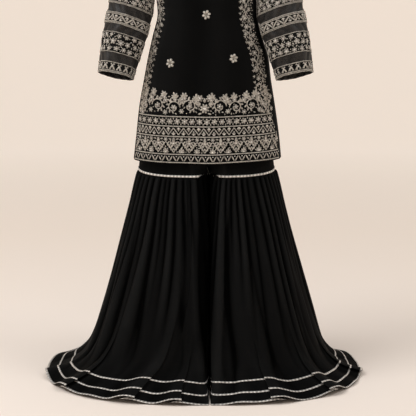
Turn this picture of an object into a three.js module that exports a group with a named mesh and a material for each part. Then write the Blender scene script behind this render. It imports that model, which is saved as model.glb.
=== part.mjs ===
// A farshi gharara suit in its worn form: a straight kameez with banded sheer sleeves over a
// divided skirt whose fitted upper legs carry gathered lower legs that trail on the floor.
// Millimetres, +Z up, +X to the viewer's right, -Y to the front of the suit.
import * as THREE from 'three';

// Heights in every table are above the floor. The group is lowered so that the waist is the origin.
const WAIST_HEIGHT = 1090;
const CLOTH = 1.6;
const TRIM = 1.0;
const SEAM_GAP = 0.3;
const TRIM_CLEARANCE = 0.6;

// Kameez
const KAMEEZ_HEM = 720;
const SLIT_TOP = 985;
const SLIT_OPENING = 26;
const UNDERARM = 1330;
const SHOULDER_POINT = { reach: 178, height: 1455 };
const NECK = { reach: 79, height: 1500, frontDrop: 98, backDrop: 34 };
const ARMHOLE_HALF_DEPTH = 50;
const KAMEEZ_COLUMNS = 18;
const KAMEEZ_SKIRT_ROWS = 9;
const KAMEEZ_YOKE_ROWS = 6;
const KAMEEZ_ROUNDNESS = 2.4;
const KAMEEZ_RIPPLE = 3.5;
const KAMEEZ_SECTIONS = [
  { height: 720, reach: 246, front: 138, back: 128, fuller: 6 },
  { height: 800, reach: 237, front: 133, back: 125, fuller: 7 },
  { height: 908, reach: 225, front: 127, back: 120, fuller: 4 },
  { height: 985, reach: 211, front: 121, back: 114, fuller: 6 },
  { height: 1070, reach: 195, front: 114, back: 106, fuller: 11 },
  { height: 1140, reach: 179, front: 112, back: 102, fuller: 5 },
  { height: 1205, reach: 163, front: 112, back: 99, fuller: 6 },
  { height: 1256, reach: 166, front: 112, back: 98, fuller: 1 },
  { height: 1330, reach: 168, front: 104, back: 94, fuller: 0 },
  { height: 1400, reach: 171, front: 86, back: 82, fuller: 0 },
  { height: 1500, reach: 178, front: 60, back: 60, fuller: 0 },
];

// The hem is drawn up towards the slits, a little more on the right.
const HEM_RISE = { left: 5, right: 10, fades: 1120 };

// Sleeves: each ring stands square to the arm. Tilt lifts its outer edge and lean lifts its front.
const SLEEVE_COLUMNS = 18;
const SLEEVE_CREASE = 2.2;
const SLEEVE_CREASES = 5;
const SLEEVE_RINGS = [
  { at: 'cuff', height: 1010, reach: 302, forward: 74, tilt: 12, lean: 15, width: 56, depth: 53 },
  { at: 'band 4 top', height: 1044, reach: 295, forward: 65, tilt: 13, lean: 15, width: 60, depth: 56 },
  { at: 'band 3 foot', height: 1071, reach: 288, forward: 57, tilt: 14, lean: 16, width: 64, depth: 59 },
  { at: 'band 3 top', height: 1134, reach: 273, forward: 42, tilt: 16, lean: 16, width: 70, depth: 64 },
  { at: 'band 2 foot', height: 1159, reach: 266, forward: 36, tilt: 18, lean: 15, width: 72, depth: 65 },
  { at: 'band 2 top', height: 1196, reach: 258, forward: 29, tilt: 18, lean: 14, width: 73, depth: 66 },
  { at: 'band 1 foot', height: 1224, reach: 252, forward: 23, tilt: 18, lean: 13, width: 73, depth: 66 },
  { at: 'band 1 top', height: 1288, reach: 246, forward: 13, tilt: 20, lean: 9, width: 74, depth: 66 },
  { at: 'sleeve head', height: 1330, reach: 234, forward: 7, tilt: 33, lean: 3, width: 74, depth: 62 },
  { at: 'sleeve crown', height: 1362, reach: 208, forward: 3, tilt: 60, lean: 1, width: 68, depth: 56 },
  { at: 'armhole', height: 1392.5, reach: 172.9, forward: 0, tilt: 87, lean: 0, width: 61.5, depth: 50 },
];
const SLEEVE_BANDS = [
  { name: 'band_1', foot: 6, top: 7 },
  { name: 'band_2', foot: 4, top: 5 },
  { name: 'band_3', foot: 2, top: 3 },
  { name: 'band_4', foot: 0, top: 1 },
];

// The right arm hangs closer to the body and further forward, ring by ring from the cuff.
const RIGHT_ARM = {
  inset: [9, 9, 9, 9, 9, 9, 9, 4, 3, 0, 0],
  forward: [4, 8, 14, 14, 14, 14, 14, 10, 4, 0, 0],
  wider: [3, 3, 3, 3, 3, 3, 3, 0, 0, 0, 0],
};

// Gharara: the fitted upper legs
const WAISTBAND_FOOT = 1050;
const WAISTBAND_COLUMNS = 36;
const CROTCH = { low: 795, high: 850 };
const INNER_LEG = 4;
const LEGS_APART = 2.5;
const LEG_CORNER = { joint: 56, low: 30, roundTo: 713 };

// The seam between upper and lower leg is higher at the outer side, and a little at the inner side.
const JOINT_RISE = { outer: 14, inner: 5, share: 0.45, fadesBelow: 560, fadesAbove: 850 };

// The split between the legs runs askew from front to back, so that no light passes through it.
const SPLIT_LEAN = 11;
const SPLIT_LEAN_FADES = 120;
const UPPER_LEG_COLUMNS = 15;
const UPPER_LEG_ROUNDNESS = 2.3;
const UPPER_LEG_SECTIONS = [
  { height: 673.9, reach: 231, front: 128, back: 120 },
  { height: 683, reach: 230, front: 126, back: 118 },
  { height: 715, reach: 226, front: 118, back: 111 },
  { height: 760, reach: 220, front: 110, back: 105 },
  { height: 795, reach: 214, front: 107, back: 103 },
  { height: 822, reach: 208, front: 105, back: 103 },
  { height: 850, reach: 201, front: 103, back: 107 },
  { height: 910, reach: 187, front: 98, back: 112 },
  { height: 980, reach: 167, front: 92, back: 111.8 },
  { height: 1049.7, reach: 140, front: 86, back: 92 },
];
const WAIST = { reach: 138, front: 85, back: 91 };

// Gharara: the gathered lower legs, ring by ring from the joint to the hem.
// Side, front and back each have a distance from the middle and a height. Front and back also
// have a roundness, 2 for an ellipse and more for a squarer outline.
const FLARE_COLUMNS = 60;
const GATHERS = 20;
const OUTLINE_STEPS = 28;
const FLARE_RINGS = [
  [231, 673.5, 128, 673.5, 2.3, 120, 673.5, 2.3],
  [238, 655, 139, 655, 2.3, 131, 655, 2.3],
  [259, 577, 177, 577, 2.3, 165, 577, 2.3],
  [287, 463, 227, 463, 2.3, 211, 463, 2.3],
  [322, 330, 281, 330, 2.35, 260, 330, 2.3],
  [359, 205, 328, 205, 2.4, 305, 205, 2.25],
  [388, 121, 354, 130, 2.45, 334, 126, 2.1],
  [418, 66, 378, 84, 2.5, 358, 76, 2.0],
  [463, 27, 408, 50, 2.55, 388, 38, 1.9],
  [505, 11, 448, 22, 2.6, 424, 15, 1.8],
  [538, 3, 480, 5, 2.6, 450, 4, 1.75],
  [544, 1.5, 486, 2, 2.6, 456, 1.5, 1.75],
].map(([side, sideHeight, front, frontHeight, frontRound, back, backHeight, backRound]) => {
  return { side, sideHeight, front, frontHeight, frontRound, back, backHeight, backRound };
});
const INNER_GOTA_RING = 8;
const MIDDLE_GOTA_RING = 9;
const GOTA_WIDTH = 7;
const FLOOR_RINGS = 5;

// The trail spreads further on the left than on the right.
const TRAIL_SPREAD = { left: 6, right: -16 };
const GATHER_HEIGHT = { joint: 3, below: 8.5 };

// Big folds: place goes round a leg from its outer side over the back to the front.
const FOLDS = {
  left: [
    { place: 0.04, width: 0.026, height: 10, start: 0.35 },
    { place: 0.13, width: 0.028, height: 14, start: 0.25 },
    { place: 0.22, width: 0.03, height: 17, start: 0.3 },
    { place: 0.3, width: 0.022, height: 14, start: 0.45 },
    { place: 0.42, width: 0.03, height: 8, start: 0.4 },
    { place: 0.6, width: 0.03, height: 8, start: 0.3 },
    { place: 0.712, width: 0.018, height: 15, start: 0.3 },
    { place: 0.77, width: 0.022, height: 22, start: 0.15 },
    { place: 0.825, width: 0.02, height: 13, start: 0.4 },
    { place: 0.875, width: 0.024, height: 20, start: 0.2 },
    { place: 0.945, width: 0.024, height: 12, start: 0.35 },
  ],
  right: [
    { place: 0.055, width: 0.028, height: 10, start: 0.4 },
    { place: 0.15, width: 0.03, height: 13, start: 0.3 },
    { place: 0.235, width: 0.024, height: 20, start: 0.2 },
    { place: 0.31, width: 0.02, height: 13, start: 0.4 },
    { place: 0.44, width: 0.028, height: 8, start: 0.4 },
    { place: 0.57, width: 0.028, height: 8, start: 0.3 },
    { place: 0.725, width: 0.02, height: 13, start: 0.35 },
    { place: 0.778, width: 0.024, height: 20, start: 0.25 },
    { place: 0.85, width: 0.024, height: 21, start: 0.2 },
    { place: 0.905, width: 0.018, height: 12, start: 0.45 },
    { place: 0.96, width: 0.022, height: 11, start: 0.3 },
  ],
};

// Finishes
const GEORGETTE = { color: 0x0e0d10, roughness: 0.82, metalness: 0 };
const SHEER_NET = { color: 0x2d2826, roughness: 0.75, metalness: 0 };
const EMBROIDERED = { color: 0x7d776d, roughness: 0.55, metalness: 0.35 };
const GOTA = { color: 0xc9c8c6, roughness: 0.3, metalness: 0.9 };

const radians = THREE.MathUtils.degToRad;
const mix = THREE.MathUtils.lerp;
const smooth = THREE.MathUtils.smoothstep;

// Reads a table of named columns at any height, straight between its rows.
function sectionAt(table, height) {
  const above = Math.max(1, table.findIndex((row) => row.height >= height));
  const [a, b] = [table[above - 1], table[above]];
  const share = THREE.MathUtils.clamp((height - a.height) / (b.height - a.height), 0, 1);
  return {
    reach: mix(a.reach, b.reach, share),
    front: mix(a.front, b.front, share),
    back: mix(a.back, b.back, share),
    fuller: mix(a.fuller, b.fuller, share),
  };
}

// A net is the middle of a cloth: rows go up, columns go anticlockwise seen from above, and each
// point has the direction in which the cloth faces out.
function makeNet(rows, closed) {
  const count = rows[0].length;
  const normals = rows.map((row, r) => {
    const below = rows[Math.max(r - 1, 0)];
    const above = rows[Math.min(r + 1, rows.length - 1)];
    return row.map((point, c) => {
      const last = closed ? (c + count - 1) % count : Math.max(c - 1, 0);
      const next = closed ? (c + 1) % count : Math.min(c + 1, count - 1);
      const across = row[next].clone().sub(row[last]);
      const upward = above[c].clone().sub(below[c]);
      return across.cross(upward).normalize();
    });
  });
  return { rows, normals, closed };
}

// Turns the facing of an edge square to a seam, so that the two walls meet face to face there.
function squareToSeam(net, column, axis, applies) {
  net.normals.forEach((row, r) => {
    if (applies(r)) row[column].setComponent(axis, 0).normalize();
  });
}

// The same for a whole row, at a seam that runs round.
function squareRow(net, row) {
  net.normals[row].forEach((normal) => normal.setComponent(2, 0).normalize());
}

// A strip of a net from one row to a place a given distance towards the next one.
function stripNet(net, row, width) {
  const target = net.rows[row + 1];
  const nextNormals = net.normals[row + 1];
  const top = net.rows[row].map((point, c) => {
    return point.clone().lerp(target[c], Math.min(1, width / point.distanceTo(target[c])));
  });
  const topNormals = net.normals[row].map((normal, c) => {
    const share = Math.min(1, width / net.rows[row][c].distanceTo(target[c]));
    return normal.clone().lerp(nextNormals[c], share).normalize();
  });
  return { rows: [net.rows[row], top], normals: [net.normals[row], topNormals], closed: net.closed };
}

// Some of the columns of a net, drawn back from its neighbours by half a seam gap.
function panelOf(net, from, to) {
  const count = net.rows[0].length;
  const pick = (row) => Array.from({ length: to - from + 1 }, (_, k) => row[(from + k) % count].clone());
  const rows = net.rows.map(pick);
  const normals = net.normals.map(pick);
  const drawBack = (point, towards) => {
    point.add(towards.clone().sub(point).setLength(SEAM_GAP / 2));
  };
  rows.forEach((row) => {
    const edges = [row[1].clone(), row[row.length - 2].clone()];
    drawBack(row[0], edges[0]);
    drawBack(row[row.length - 1], edges[1]);
  });
  return { rows, normals, closed: false };
}

// A closed wall between two distances out from a net.
function wall(net, low = -CLOTH / 2, high = CLOTH / 2) {
  const rowCount = net.rows.length;
  const columnCount = net.rows[0].length;
  const positions = [];
  for (const distance of [high, low]) {
    net.rows.forEach((row, r) => {
      row.forEach((point, c) => {
        const place = point.clone().addScaledVector(net.normals[r][c], distance);
        positions.push(place.x, place.y, place.z);
      });
    });
  }
  const innerStart = rowCount * columnCount;
  const outer = (r, c) => r * columnCount + (c % columnCount);
  const inner = (r, c) => innerStart + outer(r, c);
  const faces = [];
  const quad = (a, b, c, d) => faces.push(a, b, c, a, c, d);
  const spans = net.closed ? columnCount : columnCount - 1;
  const top = rowCount - 1;
  for (let c = 0; c < spans; c += 1) {
    for (let r = 0; r < top; r += 1) {
      quad(outer(r, c), outer(r, c + 1), outer(r + 1, c + 1), outer(r + 1, c));
      faces.push(inner(r, c), inner(r + 1, c + 1), inner(r, c + 1));
      faces.push(inner(r, c), inner(r + 1, c), inner(r + 1, c + 1));
    }
    quad(inner(0, c), inner(0, c + 1), outer(0, c + 1), outer(0, c));
    quad(outer(top, c), outer(top, c + 1), inner(top, c + 1), inner(top, c));
  }
  if (!net.closed) {
    const edge = columnCount - 1;
    for (let r = 0; r < top; r += 1) {
      quad(inner(r, 0), outer(r, 0), outer(r + 1, 0), inner(r + 1, 0));
      quad(outer(r, edge), inner(r, edge), inner(r + 1, edge), outer(r + 1, edge));
    }
  }
  const geometry = new THREE.BufferGeometry();
  geometry.setAttribute('position', new THREE.Float32BufferAttribute(positions, 3));
  geometry.setIndex(faces);
  geometry.computeVertexNormals();
  return geometry;
}

// A trim is a thin wall made from its panel's points, moved out.
function trimWall(net, lift = 0) {
  const low = CLOTH / 2 + TRIM_CLEARANCE + lift;
  return wall(net, low, low + TRIM);
}

function sewn(name, geometry, finish) {
  const mesh = new THREE.Mesh(geometry, new THREE.MeshStandardMaterial(finish));
  mesh.name = name;
  return mesh;
}

// The mirror image of a net, with its columns reversed so that it still faces out.
function mirrored(rows) {
  return rows.map((row) => {
    const flipped = row.map((point) => new THREE.Vector3(-point.x, point.y, point.z));
    return [flipped[0], ...flipped.slice(1).reverse()];
  });
}

// Kameez

function shoulderLine(x) {
  const share = (Math.abs(x) - NECK.reach) / (SHOULDER_POINT.reach - NECK.reach);
  return mix(NECK.height, SHOULDER_POINT.height, Math.max(share, 0));
}

function kameezTop(x, drop) {
  const share = Math.abs(x) / NECK.reach;
  return share < 1 ? NECK.height - drop * Math.sqrt(1 - share * share) : shoulderLine(x);
}

// Half the opening between front and back at the side edge: slit, side seam or armhole.
function sideEdge(height) {
  if (height <= UNDERARM) {
    return mix(SLIT_OPENING / 2, SEAM_GAP / 2, smooth(height, KAMEEZ_HEM, SLIT_TOP));
  }
  const middle = (SHOULDER_POINT.height + UNDERARM) / 2;
  const share = (height - middle) / (SHOULDER_POINT.height - middle);
  return SEAM_GAP / 2 + ARMHOLE_HALF_DEPTH * Math.sqrt(Math.max(0, 1 - share * share));
}

function kameezPoint(across, height, face) {
  const section = sectionAt(KAMEEZ_SECTIONS, height);
  const x = across * section.reach + section.fuller * Math.max(0, across) ** 3;
  const edge = sideEdge(height);
  const profile = (1 - Math.abs(across) ** KAMEEZ_ROUNDNESS) ** (1 / KAMEEZ_ROUNDNESS);
  const full = face < 0 ? section.front : section.back;
  let depth = edge + (full - edge) * profile;
  const fall = smooth(SLIT_TOP + 60 - height, 0, SLIT_TOP + 60 - KAMEEZ_HEM);
  depth += KAMEEZ_RIPPLE * fall * profile * Math.cos(across * 8.5 + face * 0.8);
  if (height > UNDERARM) {
    const rise = (height - UNDERARM) / (shoulderLine(x) - UNDERARM);
    const closing = Math.sqrt(Math.max(0, 1 - rise * rise));
    depth = across ** 2 < 1 ? Math.max(SEAM_GAP / 2, depth * closing) : depth;
  }
  const rise = (across < 0 ? HEM_RISE.left : HEM_RISE.right) * Math.abs(across) ** 1.4;
  const drawnUp = rise * (1 - smooth(height, KAMEEZ_HEM, HEM_RISE.fades));
  return new THREE.Vector3(x, face * depth, height + drawnUp);
}

function kameezPanel(face) {
  const drop = face < 0 ? NECK.frontDrop : NECK.backDrop;
  const acrossOf = (c) => -face * (2 * (c / KAMEEZ_COLUMNS) - 1);
  const rows = [];
  for (let r = 0; r <= KAMEEZ_SKIRT_ROWS + KAMEEZ_YOKE_ROWS; r += 1) {
    const row = [];
    for (let c = 0; c <= KAMEEZ_COLUMNS; c += 1) {
      const across = acrossOf(c);
      const top = kameezTop(across * SHOULDER_POINT.reach, drop);
      const height = r <= KAMEEZ_SKIRT_ROWS
        ? mix(KAMEEZ_HEM, UNDERARM, r / KAMEEZ_SKIRT_ROWS)
        : mix(UNDERARM, top, (r - KAMEEZ_SKIRT_ROWS) / KAMEEZ_YOKE_ROWS);
      row.push(kameezPoint(across, height, face));
    }
    rows.push(row);
  }
  const net = makeNet(rows, false);
  const top = rows.length - 1;
  for (let c = 0; c <= KAMEEZ_COLUMNS; c += 1) {
    const x = Math.abs(acrossOf(c)) * SHOULDER_POINT.reach;
    if (x >= NECK.reach) squareToSeam(net, c, 1, (r) => r === top);
  }
  for (const edge of [0, KAMEEZ_COLUMNS]) squareToSeam(net, edge, 1, (r) => r <= KAMEEZ_SKIRT_ROWS);
  return net;
}

// Sleeves

function sleeveNet(side) {
  const rows = SLEEVE_RINGS.map((ring, r) => {
    const right = side === 'right' ? 1 : 0;
    const inset = right * RIGHT_ARM.inset[r];
    const forward = ring.forward + right * RIGHT_ARM.forward[r];
    const width = ring.width + right * RIGHT_ARM.wider[r];
    const centre = new THREE.Vector3(ring.reach - inset, -forward, ring.height);
    const outward = new THREE.Vector3(Math.cos(radians(ring.tilt)), 0, Math.sin(radians(ring.tilt)));
    const backward = new THREE.Vector3(0, Math.cos(radians(ring.lean)), -Math.sin(radians(ring.lean)));
    const loose = r < SLEEVE_RINGS.length - 2 ? SLEEVE_CREASE : 0;
    return Array.from({ length: SLEEVE_COLUMNS }, (_, c) => {
      const angle = (2 * Math.PI * c) / SLEEVE_COLUMNS;
      const crease = loose * Math.sin(SLEEVE_CREASES * angle + 0.5 * r);
      return centre.clone()
        .addScaledVector(outward, (width + crease) * Math.cos(angle))
        .addScaledVector(backward, (ring.depth + crease) * Math.sin(angle));
    });
  });
  return makeNet(side === 'left' ? mirrored(rows) : rows, true);
}

function sleeve(side) {
  const net = sleeveNet(side);
  const meshes = [sewn(`sleeve_${side}`, wall(net), SHEER_NET)];
  for (const band of SLEEVE_BANDS) {
    const rows = net.rows.slice(band.foot, band.top + 1);
    const normals = net.normals.slice(band.foot, band.top + 1);
    const geometry = trimWall({ rows, normals, closed: true });
    meshes.push(sewn(`sleeve_${side}_${band.name}`, geometry, EMBROIDERED));
  }
  return meshes;
}

// Gharara

// How far the seam at the joint, and the cloth near it, is drawn up. Around goes from 0 at the
// outer side of a leg to 1 at its inner side.
function jointRise(around, height) {
  const outer = Math.max(0, 1 - around / JOINT_RISE.share) ** 2 * JOINT_RISE.outer;
  const inner = Math.max(0, 1 - (1 - around) / JOINT_RISE.share) ** 2 * JOINT_RISE.inner;
  const top = UPPER_LEG_SECTIONS[1].height;
  const below = smooth(height, JOINT_RISE.fadesBelow, FLARE_RINGS[1].sideHeight);
  return (outer + inner) * below * (1 - smooth(height, top, JOINT_RISE.fadesAbove));
}

// Moves a point by the lean of the split between the legs.
function leant(x, depthShare, side) {
  const askew = -SPLIT_LEAN * depthShare * (1 - smooth(x, 0, SPLIT_LEAN_FADES));
  return side === 'right' ? x + askew : x - askew;
}

// Half of a leg's outline, from its outer side round to its inner side, as evenly spaced points.
// The inner end stops at a given distance from the middle plane between front and back.
function halfOutline({ reach, depth, round, inner, corner, end, steps }) {
  const path = [];
  for (let i = 0; i <= OUTLINE_STEPS; i += 1) {
    const angle = (i / OUTLINE_STEPS) * Math.PI / 2;
    const x = inner + (reach - inner) * Math.cos(angle) ** (2 / round);
    const y = depth * Math.sin(angle) ** (2 / round);
    if (x > inner + corner) path.push(new THREE.Vector2(x, y));
  }
  for (let i = 0; i <= OUTLINE_STEPS / 4; i += 1) {
    const angle = Math.PI / 2 * (1 + i / (OUTLINE_STEPS / 4));
    const x = inner + corner + corner * Math.cos(angle);
    path.push(new THREE.Vector2(x, depth - corner + corner * Math.sin(angle)));
  }
  if (end < depth - corner) path.push(new THREE.Vector2(inner, end));
  const lengths = [0];
  for (let i = 1; i < path.length; i += 1) {
    lengths.push(lengths[i - 1] + path[i].distanceTo(path[i - 1]));
  }
  const total = lengths[lengths.length - 1];
  let k = 1;
  return Array.from({ length: steps + 1 }, (_, i) => {
    const target = (total * i) / steps;
    while (k < path.length - 1 && lengths[k] < target) k += 1;
    const share = (target - lengths[k - 1]) / (lengths[k] - lengths[k - 1]);
    return path[k - 1].clone().lerp(path[k], share);
  });
}

// One upper-leg piece of the right leg. Its inner edge is the inseam and, above it, the rise.
function upperLegNet(side, face) {
  const rows = UPPER_LEG_SECTIONS.map((section) => {
    const rise = smooth(section.height, CROTCH.low, CROTCH.high);
    const depth = face < 0 ? section.front : section.back;
    const outline = halfOutline({
      reach: section.reach,
      depth,
      round: UPPER_LEG_ROUNDNESS,
      inner: mix(INNER_LEG, SEAM_GAP / 2, rise),
      corner: mix(LEG_CORNER.joint, 0, smooth(section.height, LEG_CORNER.roundTo, CROTCH.high)),
      end: mix(SEAM_GAP / 2, depth, rise),
      steps: UPPER_LEG_COLUMNS,
    });
    outline[0].y = SEAM_GAP / 2;
    const lean = 1 - smooth(section.height, UPPER_LEG_SECTIONS[2].height, CROTCH.low);
    const points = outline.map(({ x, y }, i) => {
      const height = section.height + jointRise(i / UPPER_LEG_COLUMNS, section.height);
      return new THREE.Vector3(leant(x, lean * face * y / depth, side), face * y, height);
    });
    return face < 0 ? points.reverse() : points;
  });
  const placed = side === 'right' ? rows : rows.map((row) => {
    return row.map((point) => new THREE.Vector3(-point.x, point.y, point.z)).reverse();
  });
  const net = makeNet(placed, false);
  const outerEdge = (face < 0) === (side === 'right') ? UPPER_LEG_COLUMNS : 0;
  const innerEdge = UPPER_LEG_COLUMNS - outerEdge;
  const risen = (r) => UPPER_LEG_SECTIONS[r].height >= CROTCH.high;
  squareToSeam(net, outerEdge, 1, () => true);
  squareToSeam(net, innerEdge, 0, risen);
  squareToSeam(net, innerEdge, 1, (r) => UPPER_LEG_SECTIONS[r].height <= CROTCH.low);
  squareRow(net, 0);
  squareRow(net, placed.length - 1);
  return net;
}

// Height of a fold at a place round the leg, with the place counted round without an end.
function foldHeight(place, fold) {
  const apart = Math.abs(place - fold.place);
  const nearest = Math.min(apart, 1 - apart);
  return fold.height * Math.exp(-((nearest / fold.width) ** 2));
}

// How far the gathered cloth stands out at a place round the leg and a share of its length down.
function fullness(side, place, share) {
  const turn = 2 * Math.PI * place;
  const uneven = 0.7 * Math.sin(3 * turn + (side === 'left' ? 1 : 4));
  const grown = mix(GATHER_HEIGHT.joint, GATHER_HEIGHT.below, smooth(share, 0, 0.07));
  const gatherHeight = grown * (1 - 0.85 * smooth(share, 0.1, 0.75));
  const between = 1 - 0.7 * Math.exp(-(((place - 0.5) / 0.07) ** 2));
  const gather = gatherHeight * between * Math.cos(GATHERS * turn + uneven);
  const folds = FOLDS[side].reduce((sum, fold) => {
    return sum + foldHeight(place, fold) * smooth(share, fold.start, fold.start + 0.5);
  }, 0);
  return gather + folds;
}

function flareRow(ring, index, side) {
  const half = FLARE_COLUMNS / 2;
  const share = index / (FLARE_RINGS.length - 1);
  const reach = ring.side + TRAIL_SPREAD[side] * smooth(share, 0.5, 1);
  const corner = mix(LEG_CORNER.joint, LEG_CORNER.low, smooth(share, 0.1, 0.75));
  const quarter = (depth, round) => halfOutline({
    reach, depth, round, inner: INNER_LEG, corner, end: 0, steps: half,
  });
  const back = quarter(ring.back, ring.backRound).map(({ x, y }) => ({ x, y, height: ring.backHeight }));
  const front = quarter(ring.front, ring.frontRound)
    .map(({ x, y }) => ({ x, y: -y, height: ring.frontHeight }));
  const outline = [...back, ...front.reverse().slice(1, -1)];
  const flat = smooth(index, FLARE_RINGS.length - 1 - FLOOR_RINGS, FLARE_RINGS.length - 2);
  return outline.map((point, c) => {
    const last = outline[(c + FLARE_COLUMNS - 1) % FLARE_COLUMNS];
    const next = outline[(c + 1) % FLARE_COLUMNS];
    const out = new THREE.Vector2(next.y - last.y, last.x - next.x).normalize();
    const stand = fullness(side, c / FLARE_COLUMNS, share);
    const sideways = stand * mix(1, 0.25, flat);
    const upward = Math.max(0, stand) * flat * 0.8;
    const depth = point.y < 0 ? ring.front : ring.back;
    const turned = Math.min(1, Math.abs(point.y) / depth) ** 2;
    const height = mix(ring.sideHeight, point.height, turned);
    const around = 1 - Math.abs(1 - c / half);
    const x = leant(Math.max(LEGS_APART, point.x + out.x * sideways), point.y / depth, side);
    const z = height + upward + jointRise(around, height);
    return new THREE.Vector3(x, point.y + out.y * sideways, z);
  });
}

// The rings are listed from the joint down, and the rows of a net go up.
function flareNet(side) {
  const rows = FLARE_RINGS.map((ring, index) => flareRow(ring, index, side)).reverse();
  const net = makeNet(side === 'left' ? mirrored(rows) : rows, true);
  squareRow(net, rows.length - 1);
  return net;
}

// The row of the flare's net whose foot lies at a ring of its table.
function rowOf(ring) {
  return FLARE_RINGS.length - 1 - ring;
}

function lowerLeg(side) {
  const net = flareNet(side);
  const half = FLARE_COLUMNS / 2;
  const faces = side === 'right' ? ['back', 'front'] : ['front', 'back'];
  const hem = { rows: net.rows.slice(0, 2), normals: net.normals.slice(0, 2), closed: true };
  return [
    sewn(`flare_${side}_${faces[0]}`, wall(panelOf(net, 0, half)), GEORGETTE),
    sewn(`flare_${side}_${faces[1]}`, wall(panelOf(net, half, FLARE_COLUMNS)), GEORGETTE),
    sewn(`gota_inner_${side}`, trimWall(stripNet(net, rowOf(INNER_GOTA_RING), GOTA_WIDTH)), GOTA),
    sewn(`gota_middle_${side}`, trimWall(stripNet(net, rowOf(MIDDLE_GOTA_RING), GOTA_WIDTH)), GOTA),
    sewn(`gota_hem_${side}`, trimWall(hem), GOTA),
  ];
}

function upperLeg(side) {
  const front = upperLegNet(side, -1);
  const back = upperLegNet(side, 1);
  const first = side === 'right' ? back : front;
  const second = side === 'right' ? front : back;
  const join = (a, b) => [...a.slice(0, -1), ...b.slice(0, -1)];
  const strip = {
    rows: [0, 1].map((r) => join(first.rows[r], second.rows[r])),
    normals: [0, 1].map((r) => join(first.normals[r], second.normals[r])),
    closed: true,
  };
  return [
    sewn(`upper_leg_${side}_front`, wall(front), GEORGETTE),
    sewn(`upper_leg_${side}_back`, wall(back), GEORGETTE),
    sewn(`gota_joint_${side}`, trimWall(strip), GOTA),
  ];
}

function waistband() {
  const ring = (height) => Array.from({ length: WAISTBAND_COLUMNS }, (_, c) => {
    const angle = (2 * Math.PI * c) / WAISTBAND_COLUMNS;
    const depth = Math.sin(angle) < 0 ? WAIST.front : WAIST.back;
    return new THREE.Vector3(WAIST.reach * Math.cos(angle), depth * Math.sin(angle), height);
  });
  return sewn('waistband', wall(makeNet([ring(WAISTBAND_FOOT), ring(WAIST_HEIGHT)], true)), GEORGETTE);
}

const suit = new THREE.Group();
suit.name = 'farshi_gharara_suit';
suit.add(sewn('kameez_front', wall(kameezPanel(-1)), GEORGETTE));
suit.add(sewn('kameez_back', wall(kameezPanel(1)), GEORGETTE));
suit.add(waistband());
for (const side of ['left', 'right']) {
  suit.add(...sleeve(side), ...upperLeg(side), ...lowerLeg(side));
}
suit.position.z = -WAIST_HEIGHT;

export default suit;
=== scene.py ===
"""A farshi gharara suit in its worn form, dressed in cloth, embroidery and gota.

Heights in every table are metres above the floor, as in the part's own source, and every mesh is
lowered by the height of the waist when it is made, because the waist is the frame's origin.
"""
import logging
import math
from dataclasses import dataclass
from enum import Enum
from typing import Callable, Dict, List, Optional, Sequence, Tuple, Union

import bpy
import numpy as np
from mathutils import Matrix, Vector


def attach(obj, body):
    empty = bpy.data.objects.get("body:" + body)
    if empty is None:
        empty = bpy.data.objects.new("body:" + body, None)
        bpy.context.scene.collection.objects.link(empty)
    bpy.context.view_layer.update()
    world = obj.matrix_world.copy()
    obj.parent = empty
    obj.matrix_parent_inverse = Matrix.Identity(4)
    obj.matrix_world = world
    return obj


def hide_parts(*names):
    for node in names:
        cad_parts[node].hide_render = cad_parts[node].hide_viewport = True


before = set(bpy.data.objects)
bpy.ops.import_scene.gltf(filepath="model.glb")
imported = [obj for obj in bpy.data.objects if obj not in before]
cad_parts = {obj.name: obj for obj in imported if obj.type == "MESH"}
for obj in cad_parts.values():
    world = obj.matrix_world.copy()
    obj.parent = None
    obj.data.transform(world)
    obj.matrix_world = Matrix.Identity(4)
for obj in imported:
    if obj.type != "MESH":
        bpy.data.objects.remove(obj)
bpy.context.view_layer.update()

BODY = "root"
WAIST_HEIGHT = 1.09
CLOTH_HALF = 0.0008
SHELL = 0.0007
RIBBON_SHELL = 0.0006
# Point attribute with painted shade in fold valleys and painted highlights on fold crests, read by the cloth finishes.
FOLD_SHADE_AND_HIGHLIGHT = "fold"

Array = np.ndarray
Number = Union[int, float]
Point2 = Tuple[float, float]
Triple = Tuple[float, float, float]
Row = Tuple[float, ...]
Material = bpy.types.Material
Socket = bpy.types.NodeSocket
Thing = bpy.types.Object
Tree = bpy.types.NodeTree

log = logging.getLogger("suit")


class Side(Enum):
    """A side of the suit, as the viewer sees it."""

    LEFT = "left"
    RIGHT = "right"

    @property
    def sign(self) -> int:
        """The sign of X on this side."""
        return 1 if self is Side.RIGHT else -1


class Face(Enum):
    """The front or the back of the suit."""

    FRONT = "front"
    BACK = "back"

    @property
    def sign(self) -> int:
        """The sign of Y on this face."""
        return 1 if self is Face.BACK else -1


class Stitch(Enum):
    """The raised elements that the embroidery is worked from."""

    PETAL = "petal"
    BEAD = "bead"
    TWIST = "twist"


# Numbers

def smooth(value: Union[Array, Number], low: float, high: float) -> Array:
    """Eases from 0 at low to 1 at high.

    Args:
        value: The values to ease.
        low: Where the result leaves 0.
        high: Where the result reaches 1.

    Returns:
        The eased values.
    """
    share = np.clip((np.asarray(value, float) - low) / (high - low), 0.0, 1.0)
    return share * share * (3.0 - 2.0 * share)


def curve(places: Sequence[float], values: Sequence[float], at: Union[Array, Number]) -> Array:
    """Reads a smooth curve through the rows of a table.

    Args:
        places: The rising places of the rows.
        values: The value in each row.
        at: Where to read the curve.

    Returns:
        The curve's values.
    """
    x = np.asarray(places, float)
    y = np.asarray(values, float)
    steps = np.diff(y) / np.diff(x)
    slopes = np.concatenate([[steps[0]], (steps[:-1] + steps[1:]) / 2, [steps[-1]]])
    at = np.clip(np.asarray(at, float), x[0], x[-1])
    k = np.clip(np.searchsorted(x, at, side="right") - 1, 0, len(x) - 2)
    run = x[k + 1] - x[k]
    t = (at - x[k]) / run
    rise = t * t * (3 - 2 * t)
    return (
        y[k] * (1 - rise) + y[k + 1] * rise
        + run * slopes[k] * t * (1 - t) ** 2 - run * slopes[k + 1] * t * t * (1 - t)
    )


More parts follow.
